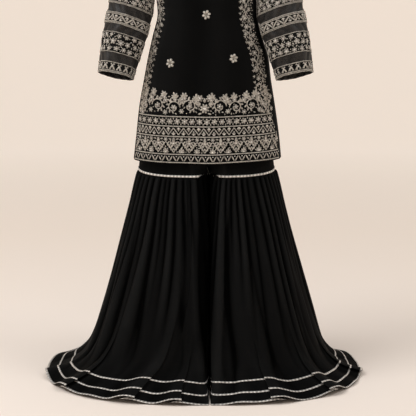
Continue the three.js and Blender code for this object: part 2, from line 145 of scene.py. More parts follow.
def unit(vectors: Array) -> Array:
    """Scales vectors to a length of one.

    Args:
        vectors: An array whose last axis holds the vectors.

    Returns:
        The unit vectors.
    """
    return vectors / np.maximum(np.linalg.norm(vectors, axis=-1, keepdims=True), 1e-12)


def grid_normals(grid: Array, closed: bool) -> Array:
    """Finds which way a sheet faces at each of its points.

    Args:
        grid: Rows that go up and columns that go anticlockwise seen from above.
        closed: Whether the last column joins the first.

    Returns:
        The unit normals, pointing out.
    """
    if closed:
        across = np.roll(grid, -1, axis=1) - np.roll(grid, 1, axis=1)
    else:
        across = np.gradient(grid, axis=1)
    return unit(np.cross(across, np.gradient(grid, axis=0)))


def lengths(path: Array) -> Array:
    """How far along a path each of its points is."""
    return np.concatenate([[0.0], np.cumsum(np.linalg.norm(np.diff(path, axis=0), axis=1))])


# Meshes

def grid_faces(rows: int, columns: int, closed: bool) -> Tuple[Array, Array, Array]:
    """Numbers the squares of a grid.

    Args:
        rows: How many rows of points it has.
        columns: How many columns of points it has.
        closed: Whether the last column joins the first.

    Returns:
        The squares' rows, their columns and their four corners, anticlockwise from outside.
    """
    spans = columns if closed else columns - 1
    r, c = np.meshgrid(np.arange(rows - 1), np.arange(spans), indexing="ij")
    beside = (c + 1) % columns
    corners = [r * columns + c, r * columns + beside, (r + 1) * columns + beside, (r + 1) * columns + c]
    return r, c, np.stack(corners, axis=-1).reshape(-1, 4)


def add_object(name: str, points: Array, faces: Array, finishes: Sequence[Material],
               finish_index: Optional[Array] = None, uv: Optional[Array] = None) -> Thing:
    """Makes a shown object from arrays.

    Args:
        name: The object's name.
        points: Points, with heights above the floor.
        faces: One row of corner numbers a face.
        finishes: The materials.
        finish_index: The number of each face's material.
        uv: Two coordinates for each corner of each face.

    Returns:
        The new object.
    """
    mesh = bpy.data.meshes.new(name)
    corners = faces.shape[1]
    placed = points - np.array([0.0, 0.0, WAIST_HEIGHT])
    mesh.vertices.add(len(placed))
    mesh.vertices.foreach_set("co", placed.astype(np.float32).ravel())
    mesh.loops.add(faces.size)
    mesh.loops.foreach_set("vertex_index", faces.astype(np.int32).ravel())
    mesh.polygons.add(len(faces))
    mesh.polygons.foreach_set("loop_start", np.arange(0, faces.size, corners, dtype=np.int32))
    for finish in finishes:
        mesh.materials.append(finish)
    if finish_index is not None:
        mesh.polygons.foreach_set("material_index", finish_index.astype(np.int32))
    mesh.polygons.foreach_set("use_smooth", np.ones(len(faces), dtype=bool))
    mesh.update(calc_edges=True)
    if uv is not None:
        layer = mesh.uv_layers.new(name="cloth")
        layer.data.foreach_set("uv", uv.astype(np.float32).ravel())
    mesh.validate()
    made = bpy.data.objects.new(name, mesh)
    bpy.context.scene.collection.objects.link(made)
    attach(made, BODY)
    return made


def crests(grid: Array, closed: bool, reach: float, depth: float) -> Array:
    """Tells which points of a cloth stand over or under the cloth beside them, which sets where shade and highlights
    are painted.

    Args:
        grid: The cloth's points.
        closed: Whether the last column joins the first.
        reach: How far to each side the cloth is compared.
        depth: The height difference that counts in full.

    Returns:
        -1 in a valley to 1 on a crest, for each point.
    """
    normals = grid_normals(grid, closed)
    result = []
    for row, out in zip(grid, normals):
        spacing = max(float(np.linalg.norm(np.diff(row, axis=0), axis=1).mean()), 1e-5)
        half = int(np.clip(round(reach / spacing), 1, len(row) // 3))
        before = row[-half:] if closed else np.repeat(row[:1], half, axis=0)
        after = row[:half] if closed else np.repeat(row[-1:], half, axis=0)
        total = np.cumsum(np.concatenate([np.zeros((1, 3)), before, row, after]), axis=0)
        width = 2 * half + 1
        mean = (total[width:] - total[:-width]) / width
        offset = np.sum((row - mean) * out, axis=1)
        if not closed:
            offset[:half] *= np.linspace(0.0, 1.0, half)
            offset[-half:] *= np.linspace(1.0, 0.0, half)
        result.append(np.clip(offset / depth, -1.0, 1.0))
    return np.stack(result)


def sheet_object(name: str, grid: Array, closed: bool, finish: Material,
                 thickness: float = SHELL, reach: float = 0.022, depth: float = 0.0042,
                 painted_shade: Optional[Array] = None) -> Thing:
    """Makes a thin shell from a grid, with cloth lengths as its UV and painted fold shade and highlights on its
    points.

    Args:
        name: The object's name.
        grid: Rows that go up and columns that go anticlockwise seen from above.
        closed: Whether the last column joins the first.
        finish: The material.
        thickness: How thick the shell is, measured inwards.
        reach: How wide the folds are that get painted shade in their valleys and painted highlights on their crests.
        depth: How deep those folds are.
        painted_shade: How much extra painted shade each point gets, or None.

    Returns:
        The new object.
    """
    r, c, faces = grid_faces(*grid.shape[:2], closed)
    ends = np.concatenate([grid, grid[:, :1]], axis=1) if closed else grid
    along = np.linalg.norm(np.diff(ends, axis=1), axis=2)
    u = np.concatenate([[0.0], np.cumsum(along.mean(axis=0))])
    v = np.concatenate([[0.0], np.cumsum(np.linalg.norm(np.diff(grid, axis=0), axis=2).mean(axis=1))])
    uv = np.stack([
        np.stack([u[c], v[r]], -1), np.stack([u[c + 1], v[r]], -1),
        np.stack([u[c + 1], v[r + 1]], -1), np.stack([u[c], v[r + 1]], -1)], axis=2)
    made = add_object(name, grid.reshape(-1, 3), faces, [finish], uv=uv.reshape(-1, 2))
    # Painted shade and highlights: each point stores -1 in a fold valley to 1 on a crest, less any extra painted
    # shade, which the cloth finishes turn into darker or lighter colour.
    fold = made.data.attributes.new(FOLD_SHADE_AND_HIGHLIGHT, "FLOAT", "POINT")
    marks = crests(grid, closed, reach, depth) - (0.0 if painted_shade is None else painted_shade)
    fold.data.foreach_set("value", np.clip(marks, -1.0, 1.0).astype(np.float32).ravel())
    finish_with(made, "SOLIDIFY", thickness=thickness, offset=-1.0, use_even_offset=False)
    return made


def finish_with(made: Thing, kind: str, **settings: object) -> None:
    """Adds one modifier to an object and applies it.

    Args:
        made: The object.
        kind: The modifier's type.
        **settings: The modifier's settings.
    """
    modifier = made.modifiers.new(kind.title(), kind)
    for key, value in settings.items():
        setattr(modifier, key, value)
    bpy.ops.object.select_all(action="DESELECT")
    made.select_set(True)
    bpy.context.view_layer.objects.active = made
    bpy.ops.object.modifier_apply(modifier=modifier.name)
    made.select_set(False)


def sheet_area(grid: Array, closed: bool) -> float:
    """Measures the cloth in a grid.

    Args:
        grid: The sheet's points.
        closed: Whether the last column joins the first.

    Returns:
        Its area in square metres.
    """
    ends = np.concatenate([grid, grid[:, :1]], axis=1) if closed else grid
    a, b = ends[:-1, :-1], ends[:-1, 1:]
    c, d = ends[1:, 1:], ends[1:, :-1]
    halves = np.linalg.norm(np.cross(b - a, c - a), axis=2) + np.linalg.norm(np.cross(c - a, d - a), axis=2)
    return float(halves.sum() / 2)


def declare_sheet(made: Thing, grid: Array, closed: bool, width: float, length: float) -> None:
    """Logs the cut of a sheet and its cloth area.

    Args:
        made: The sheet's object.
        grid: Its points.
        closed: Whether it is a tube.
        width: The cut's width in metres.
        length: The cut's length in metres.
    """
    area = min(round(sheet_area(grid, closed), 4), width * length)
    log.info("%s: cut %.2f by %.2f m, %.3f square metres", made.name, width, length, area)


def stand_for(made: Thing, slot: str, *nodes: str) -> None:
    """Hides the CAD nodes that an object is shown in place of."""
    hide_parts(*nodes)


def sew_ribbon(node: str, grid: Array, gota: Material) -> Thing:
    """Makes a closed gota line and logs its cut.

    Args:
        node: The CAD node that it stands for.
        grid: The ribbon's points.
        gota: The material.

    Returns:
        The ribbon's object.
    """
    made = sheet_object(f"{node}_ribbon", grid, True, gota, thickness=RIBBON_SHELL)
    stand_for(made, "gota", node)
    declare_sheet(made, grid, True, round(float(lengths(grid[1])[-1]) + 0.02, 2), 0.012)
    return made


# Materials

class Wire:
    """A value socket that can be used in sums."""

    def __init__(self, tree: Tree, socket: Socket) -> None:
        """Wraps an output socket of a node tree."""
        self.tree = tree
        self.socket = socket

    def _sum(self, operation: str, first: object, second: object) -> "Wire":
        """Adds a Math node for one operation.

        Args:
            operation: The Math node's operation.
            first: A Wire or a number.
            second: Another.

        Returns:
            The node's result.
        """
        node = self.tree.nodes.new("ShaderNodeMath")
        node.operation = operation
        for slot, value in zip(node.inputs, (first, second)):
            if isinstance(value, Wire):
                self.tree.links.new(value.socket, slot)
            else:
                slot.default_value = float(value)
        return Wire(self.tree, node.outputs[0])

    def __add__(self, other: object) -> "Wire":
        """Adds."""
        return self._sum("ADD", self, other)

    def __sub__(self, other: object) -> "Wire":
        """Subtracts."""
        return self._sum("SUBTRACT", self, other)

    def __rsub__(self, other: object) -> "Wire":
        """Is subtracted from a number."""
        return self._sum("SUBTRACT", other, self)

    def __mul__(self, other: object) -> "Wire":
        """Multiplies."""
        return self._sum("MULTIPLY", self, other)

    def __pow__(self, other: object) -> "Wire":
        """Raises to a power."""
        return self._sum("POWER", self, other)

    __radd__ = __add__
    __rmul__ = __mul__


class Shade:
    """A material whose nodes are made by one method."""

    def __init__(self, name: str) -> None:
        """Makes an empty material with one surface shader."""
        self.material = bpy.data.materials.new(name)
        self.material.use_nodes = True
        self.tree = self.material.node_tree
        self.surface = self.tree.nodes["Principled BSDF"]

    def node(self, kind: str, settings: Optional[Dict[str, object]] = None,
             sockets: Optional[Dict[object, object]] = None) -> bpy.types.Node:
        """Adds a node.

        Args:
            kind: The node's type.
            settings: Its settings, which are set first.
            sockets: The values or links of its inputs, by name or number.

        Returns:
            The node.
        """
        node = self.tree.nodes.new(kind)
        for key, value in (settings or {}).items():
            setattr(node, key, value)
        for key, value in (sockets or {}).items():
            self.join(value, node.inputs[key])
        return node

    def join(self, value: object, slot: Socket) -> None:
        """Sets an input to a value, or links it.

        Args:
            value: A number, a colour, a Wire or an output socket.
            slot: The input.
        """
        if isinstance(value, Wire):
            self.tree.links.new(value.socket, slot)
        elif isinstance(value, Socket):
            self.tree.links.new(value, slot)
        else:
            slot.default_value = value

    def wire(self, node: bpy.types.Node, output: object = 0) -> Wire:
        """Wraps an output of a node."""
        return Wire(self.tree, node.outputs[output])

    def coordinates(self, output: str) -> Socket:
        """Gives the object's own coordinates, or its UV."""
        return self.node("ShaderNodeTexCoord").outputs[output]

    def noise(self, where: Socket, scale: float, detail: float = 2.0) -> Wire:
        """Adds an even noise."""
        made = self.node("ShaderNodeTexNoise", None, {"Vector": where, "Scale": scale, "Detail": detail})
        return self.wire(made)

    def attribute(self, name: str) -> Wire:
        """Gives a number that the object's points carry."""
        return self.wire(self.node("ShaderNodeAttribute", {"attribute_name": name}), "Fac")

    def stretched(self, where: Socket, scale: Triple) -> Socket:
        """Scales coordinates by axis."""
        return self.node("ShaderNodeMapping", None, {"Vector": where, "Scale": scale}).outputs[0]

    def blend(self, share: Wire, first: Sequence[float], second: Sequence[float]) -> Socket:
        """Mixes two colours.

        Args:
            share: 0 for the first to 1 for the second.
            first: A colour.
            second: Another.

        Returns:
            The mixed colour.
        """
        made = self.node("ShaderNodeMix", {"data_type": "RGBA", "clamp_factor": True}, {0: share})
        made.inputs["A"].default_value = (*first, 1.0)
        made.inputs["B"].default_value = (*second, 1.0)
        return made.outputs["Result"]

    def relief(self, height: Wire, depth: float, strength: float = 1.0) -> None:
        """Turns a height into bumps on the surface.

        Args:
            height: The height, about 0 to 1.
            depth: The distance that 1 stands for, in metres.
            strength: How strongly the bumps shade.
        """
        bump = self.node("ShaderNodeBump", None, {"Height": height, "Distance": depth, "Strength": strength})
        self.join(bump.outputs[0], self.surface.inputs["Normal"])

    def set(self, **values: object) -> None:
        """Sets inputs of the surface shader, with underscores for spaces."""
        for key, value in values.items():
            self.join(value, self.surface.inputs[key.replace("_", " ")])


@dataclass(frozen=True)
class CrepeFinish:
    """Matte crepe-woven black cloth, with painted shade in fold valleys and painted highlights on fold crests."""

    name: str = "black georgette"
    dark: Triple = (0.0004, 0.0004, 0.0004)
    light: Triple = (0.0126, 0.0130, 0.0131)
    sheen: float = 0.002
    gloss: float = 0.014

    def make(self) -> Material:
        """Builds the material.

        Returns:
            The material.
        """
        shade = Shade(self.name)
        where = shade.coordinates("Object")
        crepe = shade.noise(where, 950.0, 3.0)
        cloud = shade.noise(where, 7.0)
        slub = shade.noise(shade.stretched(where, (420.0, 420.0, 30.0)), 1.0)
        # Base colour: painted shade in fold valleys and painted highlights on fold crests from the point attribute,
        # mixed with random cloud and slub tone.
        shade.set(
            Base_Color=shade.blend(shade.attribute(FOLD_SHADE_AND_HIGHLIGHT) * 0.42 + cloud * 0.12 + slub * 0.06 + 0.18,
                                   self.dark, self.light),
            Roughness=crepe * 0.22 + cloud * 0.1 + 0.5,
            Sheen_Weight=self.sheen, Sheen_Roughness=0.45, Specular_IOR_Level=self.gloss,
        )
        shade.relief(crepe * 0.7 + slub * 0.3, 0.00025, 0.5)
        return shade.material


@dataclass(frozen=True)
class SheerFinish:
    """Sheer dark organza, which what is behind it shows through, with painted shade in crease valleys and painted
    highlights on crests.
    """

    name: str = "sheer organza"
    dark: Triple = (0.0015, 0.0014, 0.0013)
    light: Triple = (0.029, 0.026, 0.024)

    def make(self) -> Material:
        """Builds the material.

        Returns:
            The material.
        """
        shade = Shade(self.name)
        where = shade.coordinates("Object")
        threads = shade.noise(shade.stretched(where, (900.0, 900.0, 90.0)), 1.0)
        cloud = shade.noise(where, 24.0)
        # Base colour: painted shade in crease valleys and painted highlights on crests from the point attribute, mixed
        # with random cloud tone.
        shade.set(
            Base_Color=shade.blend(shade.attribute(FOLD_SHADE_AND_HIGHLIGHT) * 0.5 + cloud * 0.5 + 0.1, self.dark, self.light),
            Roughness=threads * 0.2 + 0.38,
            Alpha=threads * 0.10 + cloud * 0.08 + 0.80,
            Sheen_Weight=0.03, Specular_IOR_Level=0.25,
        )
        shade.relief(threads, 0.0002, 0.4)
        return shade.material


@dataclass(frozen=True)
class ThreadFinish:
    """Wound metal thread, antique silver."""

    name: str
    dark: Triple
    light: Triple
    metal: float
    rough: float

    def make(self) -> Material:
        """Builds the material.

        Returns:
            The material.
        """
        shade = Shade(self.name)
        where = shade.coordinates("Object")
        patches = shade.noise(where, 160.0, 3.0)
        winding = shade.noise(shade.stretched(where, (2600.0, 2600.0, 2600.0)), 1.0)
        shade.set(
            Base_Color=shade.blend(patches * 1.6 - 0.3, self.dark, self.light),
            Metallic=self.metal,
            Roughness=winding * 0.25 + self.rough,
        )
        shade.relief(winding, 0.0002, 0.6)
        return shade.material


BAND_SCALE = 0.314


@dataclass(frozen=True)
class GotaFinish:
    """Woven silver ribbon, with fine ribs and wider marks across it."""

    name: str = "silver gota"
    dark: Triple = (0.20, 0.19, 0.18)
    light: Triple = (0.95, 0.92, 0.88)
    rib: float = 0.0022
    mark: float = 0.0125

    @staticmethod
    def bands(shade: Shade, where: Socket, pitch: float) -> Wire:
        """Adds even bands across the ribbon.

        Args:
            shade: The material.
            where: The ribbon's own coordinates.
            pitch: The distance from band to band.

        Returns:
            0 to 1 across each band.
        """
        made = shade.node(
            "ShaderNodeTexWave", {"wave_type": "BANDS", "bands_direction": "X", "wave_profile": "SIN"},
            {"Vector": shade.stretched(where, (1.0 / pitch, 0.0, 0.0)), "Scale": BAND_SCALE,
             "Distortion": 2.2, "Detail Scale": 0.7})
        return shade.wire(made, 1)

    def make(self) -> Material:
        """Builds the material.

        Returns:
            The material.
        """
        shade = Shade(self.name)
        where = shade.coordinates("UV")
        rib, mark = (self.bands(shade, where, pitch) for pitch in (self.rib, self.mark))
        worn = shade.noise(shade.coordinates("Object"), 60.0, 3.0)
        shade.set(
            Base_Color=shade.blend(rib * 0.2 + mark * 0.55 + worn * 0.9 - 0.25, self.dark, self.light),
            Metallic=0.6,
            Roughness=worn * 0.2 + rib * 0.08 + 0.26,
        )
        shade.relief(rib, 0.0004, 0.8)
        return shade.material


@dataclass(frozen=True)
class StudioFinish:
    """The pale floor and backdrop, warmer further out, with a painted glow that grows with distance from the suit and
    stands in for light on the far wall.
    """

    name: str = "studio paper"
    near: Triple = (0.86, 0.775, 0.705)
    far: Triple = (0.86, 0.752, 0.660)
    glow: Triple = (0.300, 0.290, 0.272)
    near_reach: float = 0.9
    far_reach: float = 2.6
    glow_reach: float = 5.5

    def make(self) -> Material:
        """Builds the material.

        Returns:
            The material.
        """
        shade = Shade(self.name)
        where = shade.coordinates("Object")
        flat = shade.node("ShaderNodeVectorMath", {"operation": "MULTIPLY"}, {0: where, 1: (1.0, 1.0, 0.0)})
        away = shade.wire(shade.node("ShaderNodeVectorMath", {"operation": "LENGTH"}, {0: flat.outputs[0]}), "Value")
        grain = shade.noise(where, 3.0)
        share = (away - self.near_reach) * (1.0 / (self.far_reach - self.near_reach)) + grain * 0.2 - 0.1
        # Painted light: the paper glows more the further it is from the suit, though it is no lamp.
        lit = (away - self.near_reach) * (1.0 / (self.glow_reach - self.near_reach))
        shade.set(Base_Color=shade.blend(share, self.near, self.far), Roughness=0.95,
                  Emission_Color=shade.blend(lit, (0.0, 0.0, 0.0), self.glow), Emission_Strength=1.0)
        shade.surface.inputs["Specular IOR Level"].default_value = 0.1
        return shade.material


class Finishes:
    """Every material of the suit, made once."""

    def __init__(self) -> None:
        """Builds the materials."""
        self.crepe = CrepeFinish().make()
        self.sheer = SheerFinish().make()
        self.thread = ThreadFinish("silver thread", (0.085, 0.078, 0.068), (0.70, 0.655, 0.585), 0.45, 0.36).make()
        self.cord = ThreadFinish("silver cord", (0.18, 0.165, 0.145), (0.72, 0.68, 0.61), 0.5, 0.34).make()
        self.bead = ThreadFinish("glass and silver bead", (0.6, 0.57, 0.53), (0.95, 0.93, 0.9), 0.55, 0.16).make()
        self.gota = GotaFinish().make()
        self.paper = StudioFinish().make()

    def stitched(self) -> List[Material]:
        """The materials of an embroidered piece, in the order of their numbers."""
        return [self.thread, self.cord, self.bead]


# Surfaces that embroidery is laid on

SurfaceAt = Callable[[Array, Array], Array]


@dataclass
class Ground:
    """A surface with its own flat coordinates, in metres."""

    point: SurfaceAt
    step: float = 0.002

    def lay(self, a: Array, b: Array, height: Array) -> Array:
        """Lays flat points on the surface.

        Args:
            a: Distances across.
            b: Distances up.
            height: Distances out of the surface.

        Returns:
            Points in space.
        """
        across = self.point(a + self.step, b) - self.point(a - self.step, b)
        up = self.point(a, b + self.step) - self.point(a, b - self.step)
        return self.point(a, b) + unit(np.cross(across, up)) * height[:, None]


class MotifLibrary:
    """The raised elements, each modelled once and copied by the embroidery."""

    def __init__(self) -> None:
        """Models each element and keeps its points and triangles."""
        self.shapes: Dict[Stitch, Tuple[Array, Array]] = {
            Stitch.PETAL: self._spindle(segments=6, rings=4),
            Stitch.BEAD: self._spindle(segments=6, rings=3),
            Stitch.TWIST: self._spindle(segments=6, rings=3),
        }

    @staticmethod
    def _spindle(segments: int, rings: int) -> Tuple[Array, Array]:
        """Models a half spindle, one long, one wide and one high, closed below.

        Args:
            segments: Sides round its length.
            rings: Steps along its length.

        Returns:
            Its points and its triangles.
        """
        bpy.ops.object.select_all(action="DESELECT")
        bpy.ops.mesh.primitive_uv_sphere_add(
            segments=segments, ring_count=rings, radius=0.5, rotation=(0.0, math.pi / 2, 0.0))
        made = bpy.context.active_object
        bpy.ops.object.transform_apply(location=True, rotation=True, scale=True)
        bpy.ops.object.mode_set(mode="EDIT")
        bpy.ops.mesh.select_all(action="SELECT")
        bpy.ops.mesh.bisect(plane_co=(0, 0, -0.02), plane_no=(0, 0, 1), use_fill=True, clear_inner=True)
        bpy.ops.mesh.select_all(action="SELECT")
        bpy.ops.mesh.quads_convert_to_tris()
        bpy.ops.mesh.normals_make_consistent(inside=False)
        bpy.ops.object.mode_set(mode="OBJECT")
        mesh = made.data
        points = np.array([corner.co for corner in mesh.vertices], float)
        points[:, 2] *= 2.0
        faces = np.array([list(face.vertices) for face in mesh.polygons], int)
        bpy.data.objects.remove(made, do_unlink=True)
        bpy.data.meshes.remove(mesh)
        return points, faces


def everywhere(a: Array, b: Array) -> Array:
    """Tells that all points over the foot lie in the region."""
    return b > 0


class Embroidery:
    """Embroidery in flat coordinates, which is laid on a ground when it is finished."""

    THREAD, CORD, BEAD = 0, 1, 2

    def __init__(self, library: MotifLibrary, seed: int) -> None:
        """Starts an empty piece of work."""
        self.library = library
        self.random = np.random.default_rng(seed)
        self.parts: List[Tuple[Array, Array, int]] = []
        self.marks: List[Point2] = []

    def stitch(self, kind: Stitch, at: Point2, size: Triple, angle: float,
               finish: int, lift: float = 0.0) -> None:
        """Adds one raised element.

        Args:
            kind: Which element.
            at: Its middle.
            size: Its length, width and height.
            angle: Its turn in the flat, in radians.
            finish: The number of its material.
            lift: How far its foot stands off the cloth.
        """
        shape, faces = self.library.shapes[kind]
        local = shape * np.asarray(size)
        c, s = math.cos(angle), math.sin(angle)
        points = np.stack([at[0] + c * local[:, 0] - s * local[:, 1],
                           at[1] + s * local[:, 0] + c * local[:, 1],
                           local[:, 2] + lift], axis=1)
        self.parts.append((points, faces, finish))
        reach = 0.22 * size[0]
        self.marks += [(at[0] - c * reach, at[1] - s * reach), (at[0] + c * reach, at[1] + s * reach)]

    def bead(self, at: Point2, size: float, height: float, lift: float = 0.0) -> None:
        """Adds a round bead."""
        self.stitch(Stitch.BEAD, at, (size, size, height), 0.0, self.BEAD, lift)

    def leaf(self, foot: Point2, length: float, angle: float, width: float = 0.42,
             height: float = 0.0011) -> None:
        """Adds a leaf that grows from its foot."""
        middle = (foot[0] + math.cos(angle) * length / 2, foot[1] + math.sin(angle) * length / 2)
        self.stitch(Stitch.PETAL, middle, (length, length * width, height), angle, self.THREAD)

    def flower(self, at: Point2, radius: float, petals: int = 6, beaded: bool = True) -> None:
        """Adds a round flower with a middle.

        Args:
            at: Its middle.
            radius: Its radius.
            petals: How many petals it has.
            beaded: Whether its middle is a bead.
        """
        turn = self.random.uniform(0, 2 * math.pi)
        for k in range(petals):
            angle = turn + 2 * math.pi * k / petals
            foot = (at[0] + 0.22 * radius * math.cos(angle), at[1] + 0.22 * radius * math.sin(angle))
            self.leaf(foot, 0.8 * radius, angle, width=4.3 / petals, height=0.0018)
        finish = self.BEAD if beaded else self.CORD
        self.stitch(Stitch.BEAD, at, (0.6 * radius, 0.6 * radius, 0.0021), 0.0, finish, lift=0.0004)

    def ridge(self, path: Array, width: float, height: float, finish: int) -> None:
        """Adds a couched thread along a path.

        Args:
            path: The path's points.
            width: The thread's width.
            height: Its height.
            finish: The number of its material.
        """
        ahead = unit(np.gradient(path, axis=0))
        aside = np.stack([-ahead[:, 1], ahead[:, 0]], axis=1)
        profile = ((-0.5, 0.0), (-0.24, 1.0), (0.24, 1.0), (0.5, 0.0))
        rings = [np.column_stack([path + aside * (w * width), np.full(len(path), h * height)]) for w, h in profile]
        points = np.stack(rings, axis=1).reshape(-1, 3)
        count = len(profile)
        faces: List[Tuple[int, int, int]] = []
        for i in range(len(path) - 1):
            for k in range(count):
                a, b = i * count + k, i * count + (k + 1) % count
                faces += [(a, a + count, b + count), (a, b + count, b)]
        last = (len(path) - 1) * count
        faces += [(0, 1, 2), (0, 2, 3), (last, last + 2, last + 1), (last, last + 3, last + 2)]
        self.parts.append((points, np.array(faces), finish))
        self.marks += [(float(a), float(b)) for a, b in path]

    def rope(self, start: Point2, end: Point2, width: float = 0.0036, pitch: float = 0.0034) -> None:
        """Adds a straight twisted cord.

        Args:
            start: Its first point.
            end: Its last point.
            width: The cord's width.
            pitch: The length of one twist.
        """
        run = np.array(end) - np.array(start)
        length = float(np.hypot(*run))
        along = math.atan2(run[1], run[0])
        count = max(2, int(round(length / pitch)))
        for k in range(count):
            at = np.array(start) + run * ((k + 0.5) / count)
            self.stitch(Stitch.TWIST, (at[0], at[1]), (1.55 * width, 0.78 * width, 0.0016), along + 0.62, self.CORD)

    def fleur(self, foot: Point2, size: float, angle: float, leaves: int = 5, spread: float = 1.05) -> None:
        """Adds a spray of leaves that opens from its foot.

        Args:
            foot: Where it grows from.
            size: The length of its middle leaf.
            angle: Which way it grows.
            leaves: How many leaves it has.
            spread: The turn of the outermost leaves.
        """
        for k in range(leaves):
            share = (2 * k / (leaves - 1) - 1) if leaves > 1 else 0.0
            reach = size * (1 - 0.32 * abs(share)) * self.random.uniform(0.92, 1.08)
            self.leaf(foot, reach, angle + spread * share, width=0.4)

    def scroll(self, at: Point2, radius: float, start: float, turn: int, leaves: int = 8) -> None:
        """Adds a curling stem with leaves along its outside and a flower in its eye.

        Args:
            at: The middle of the curl.
            radius: Its outer radius.
            start: The angle at which it begins.
            turn: 1 to curl anticlockwise, -1 to curl clockwise.
            leaves: How many leaves stand on it.
        """
        share = np.linspace(0.0, 1.0, 22)
        angle = start + turn * share * 1.35 * 2 * math.pi * 0.78
        reach = radius * (1.0 - 0.62 * share ** 0.9)
        path = np.stack([at[0] + reach * np.cos(angle), at[1] + reach * np.sin(angle)], axis=1)
        self.ridge(path, 0.0036, 0.0016, self.CORD)
        for k in range(leaves):
            i = int(1 + k * 15 / leaves)
            outward = angle[i] + turn * 0.75
            self.leaf((path[i, 0], path[i, 1]), radius * (0.62 - 0.02 * k), outward, width=0.5)
        self.flower(at, radius * 0.4, petals=5)

    def fill(self, low: Point2, high: Point2, inside: Callable[[Array, Array], Array],
             spacing: float = 0.0056, room: float = 0.0043) -> None:
        """Fills the bare places of a region with small leaves, sprigs and beads.

        Args:
            low: The lower left corner of the box round the region.
            high: The upper right corner of that box.
            inside: Tells which points lie in the region.
            spacing: How far apart the places are that it tries.
            room: How far a place must be from all earlier work.
        """
        a, b = np.meshgrid(np.arange(low[0], high[0], spacing), np.arange(low[1], high[1], spacing))
        a = a.ravel() + self.random.uniform(-0.4, 0.4, a.size) * spacing
        b = b.ravel() + self.random.uniform(-0.4, 0.4, b.size) * spacing
        keep = inside(a, b)
        a, b = a[keep], b[keep]
        for k in self.random.permutation(len(a)):
            near = np.array(self.marks)
            gap = np.hypot(near[:, 0] - a[k], near[:, 1] - b[k])
            i = int(gap.argmin())
            if gap[i] < room:
                continue
            away = math.atan2(b[k] - near[i, 1], a[k] - near[i, 0]) + self.random.uniform(-0.4, 0.4)
            if self.random.random() < 0.22:
                self.bead((a[k], b[k]), 0.0036, 0.0022)
            else:
                foot = (a[k] - 0.3 * room * math.cos(away), b[k] - 0.3 * room * math.sin(away))
                self.leaf(foot, self.random.uniform(0.0062, 0.0088), away, width=0.48)

    def finish(self, name: str, ground: Ground, finishes: Sequence[Material],
               clearance: float = 0.0003) -> Thing:
        """Lays the work on its ground and makes one mesh of it.

        Args:
            name: The object's name.
            ground: The surface it lies on.
            finishes: The materials in the order of their numbers.
            clearance: How far the work stands off the ground.

        Returns:
            The object.
        """
        counts = [len(points) for points, _, _ in self.parts]
        starts = np.concatenate([[0], np.cumsum(counts)[:-1]])
        flat = np.concatenate([points for points, _, _ in self.parts])
        faces = np.concatenate([faces + start for (_, faces, _), start in zip(self.parts, starts)])
        index = np.concatenate([np.full(len(faces_), finish) for _, faces_, finish in self.parts])
        placed = ground.lay(flat[:, 0], flat[:, 1], flat[:, 2] + clearance)
        log.info("%s: %d triangles", name, len(faces))
        return add_object(name, placed, faces, finishes, finish_index=index)


# Kameez

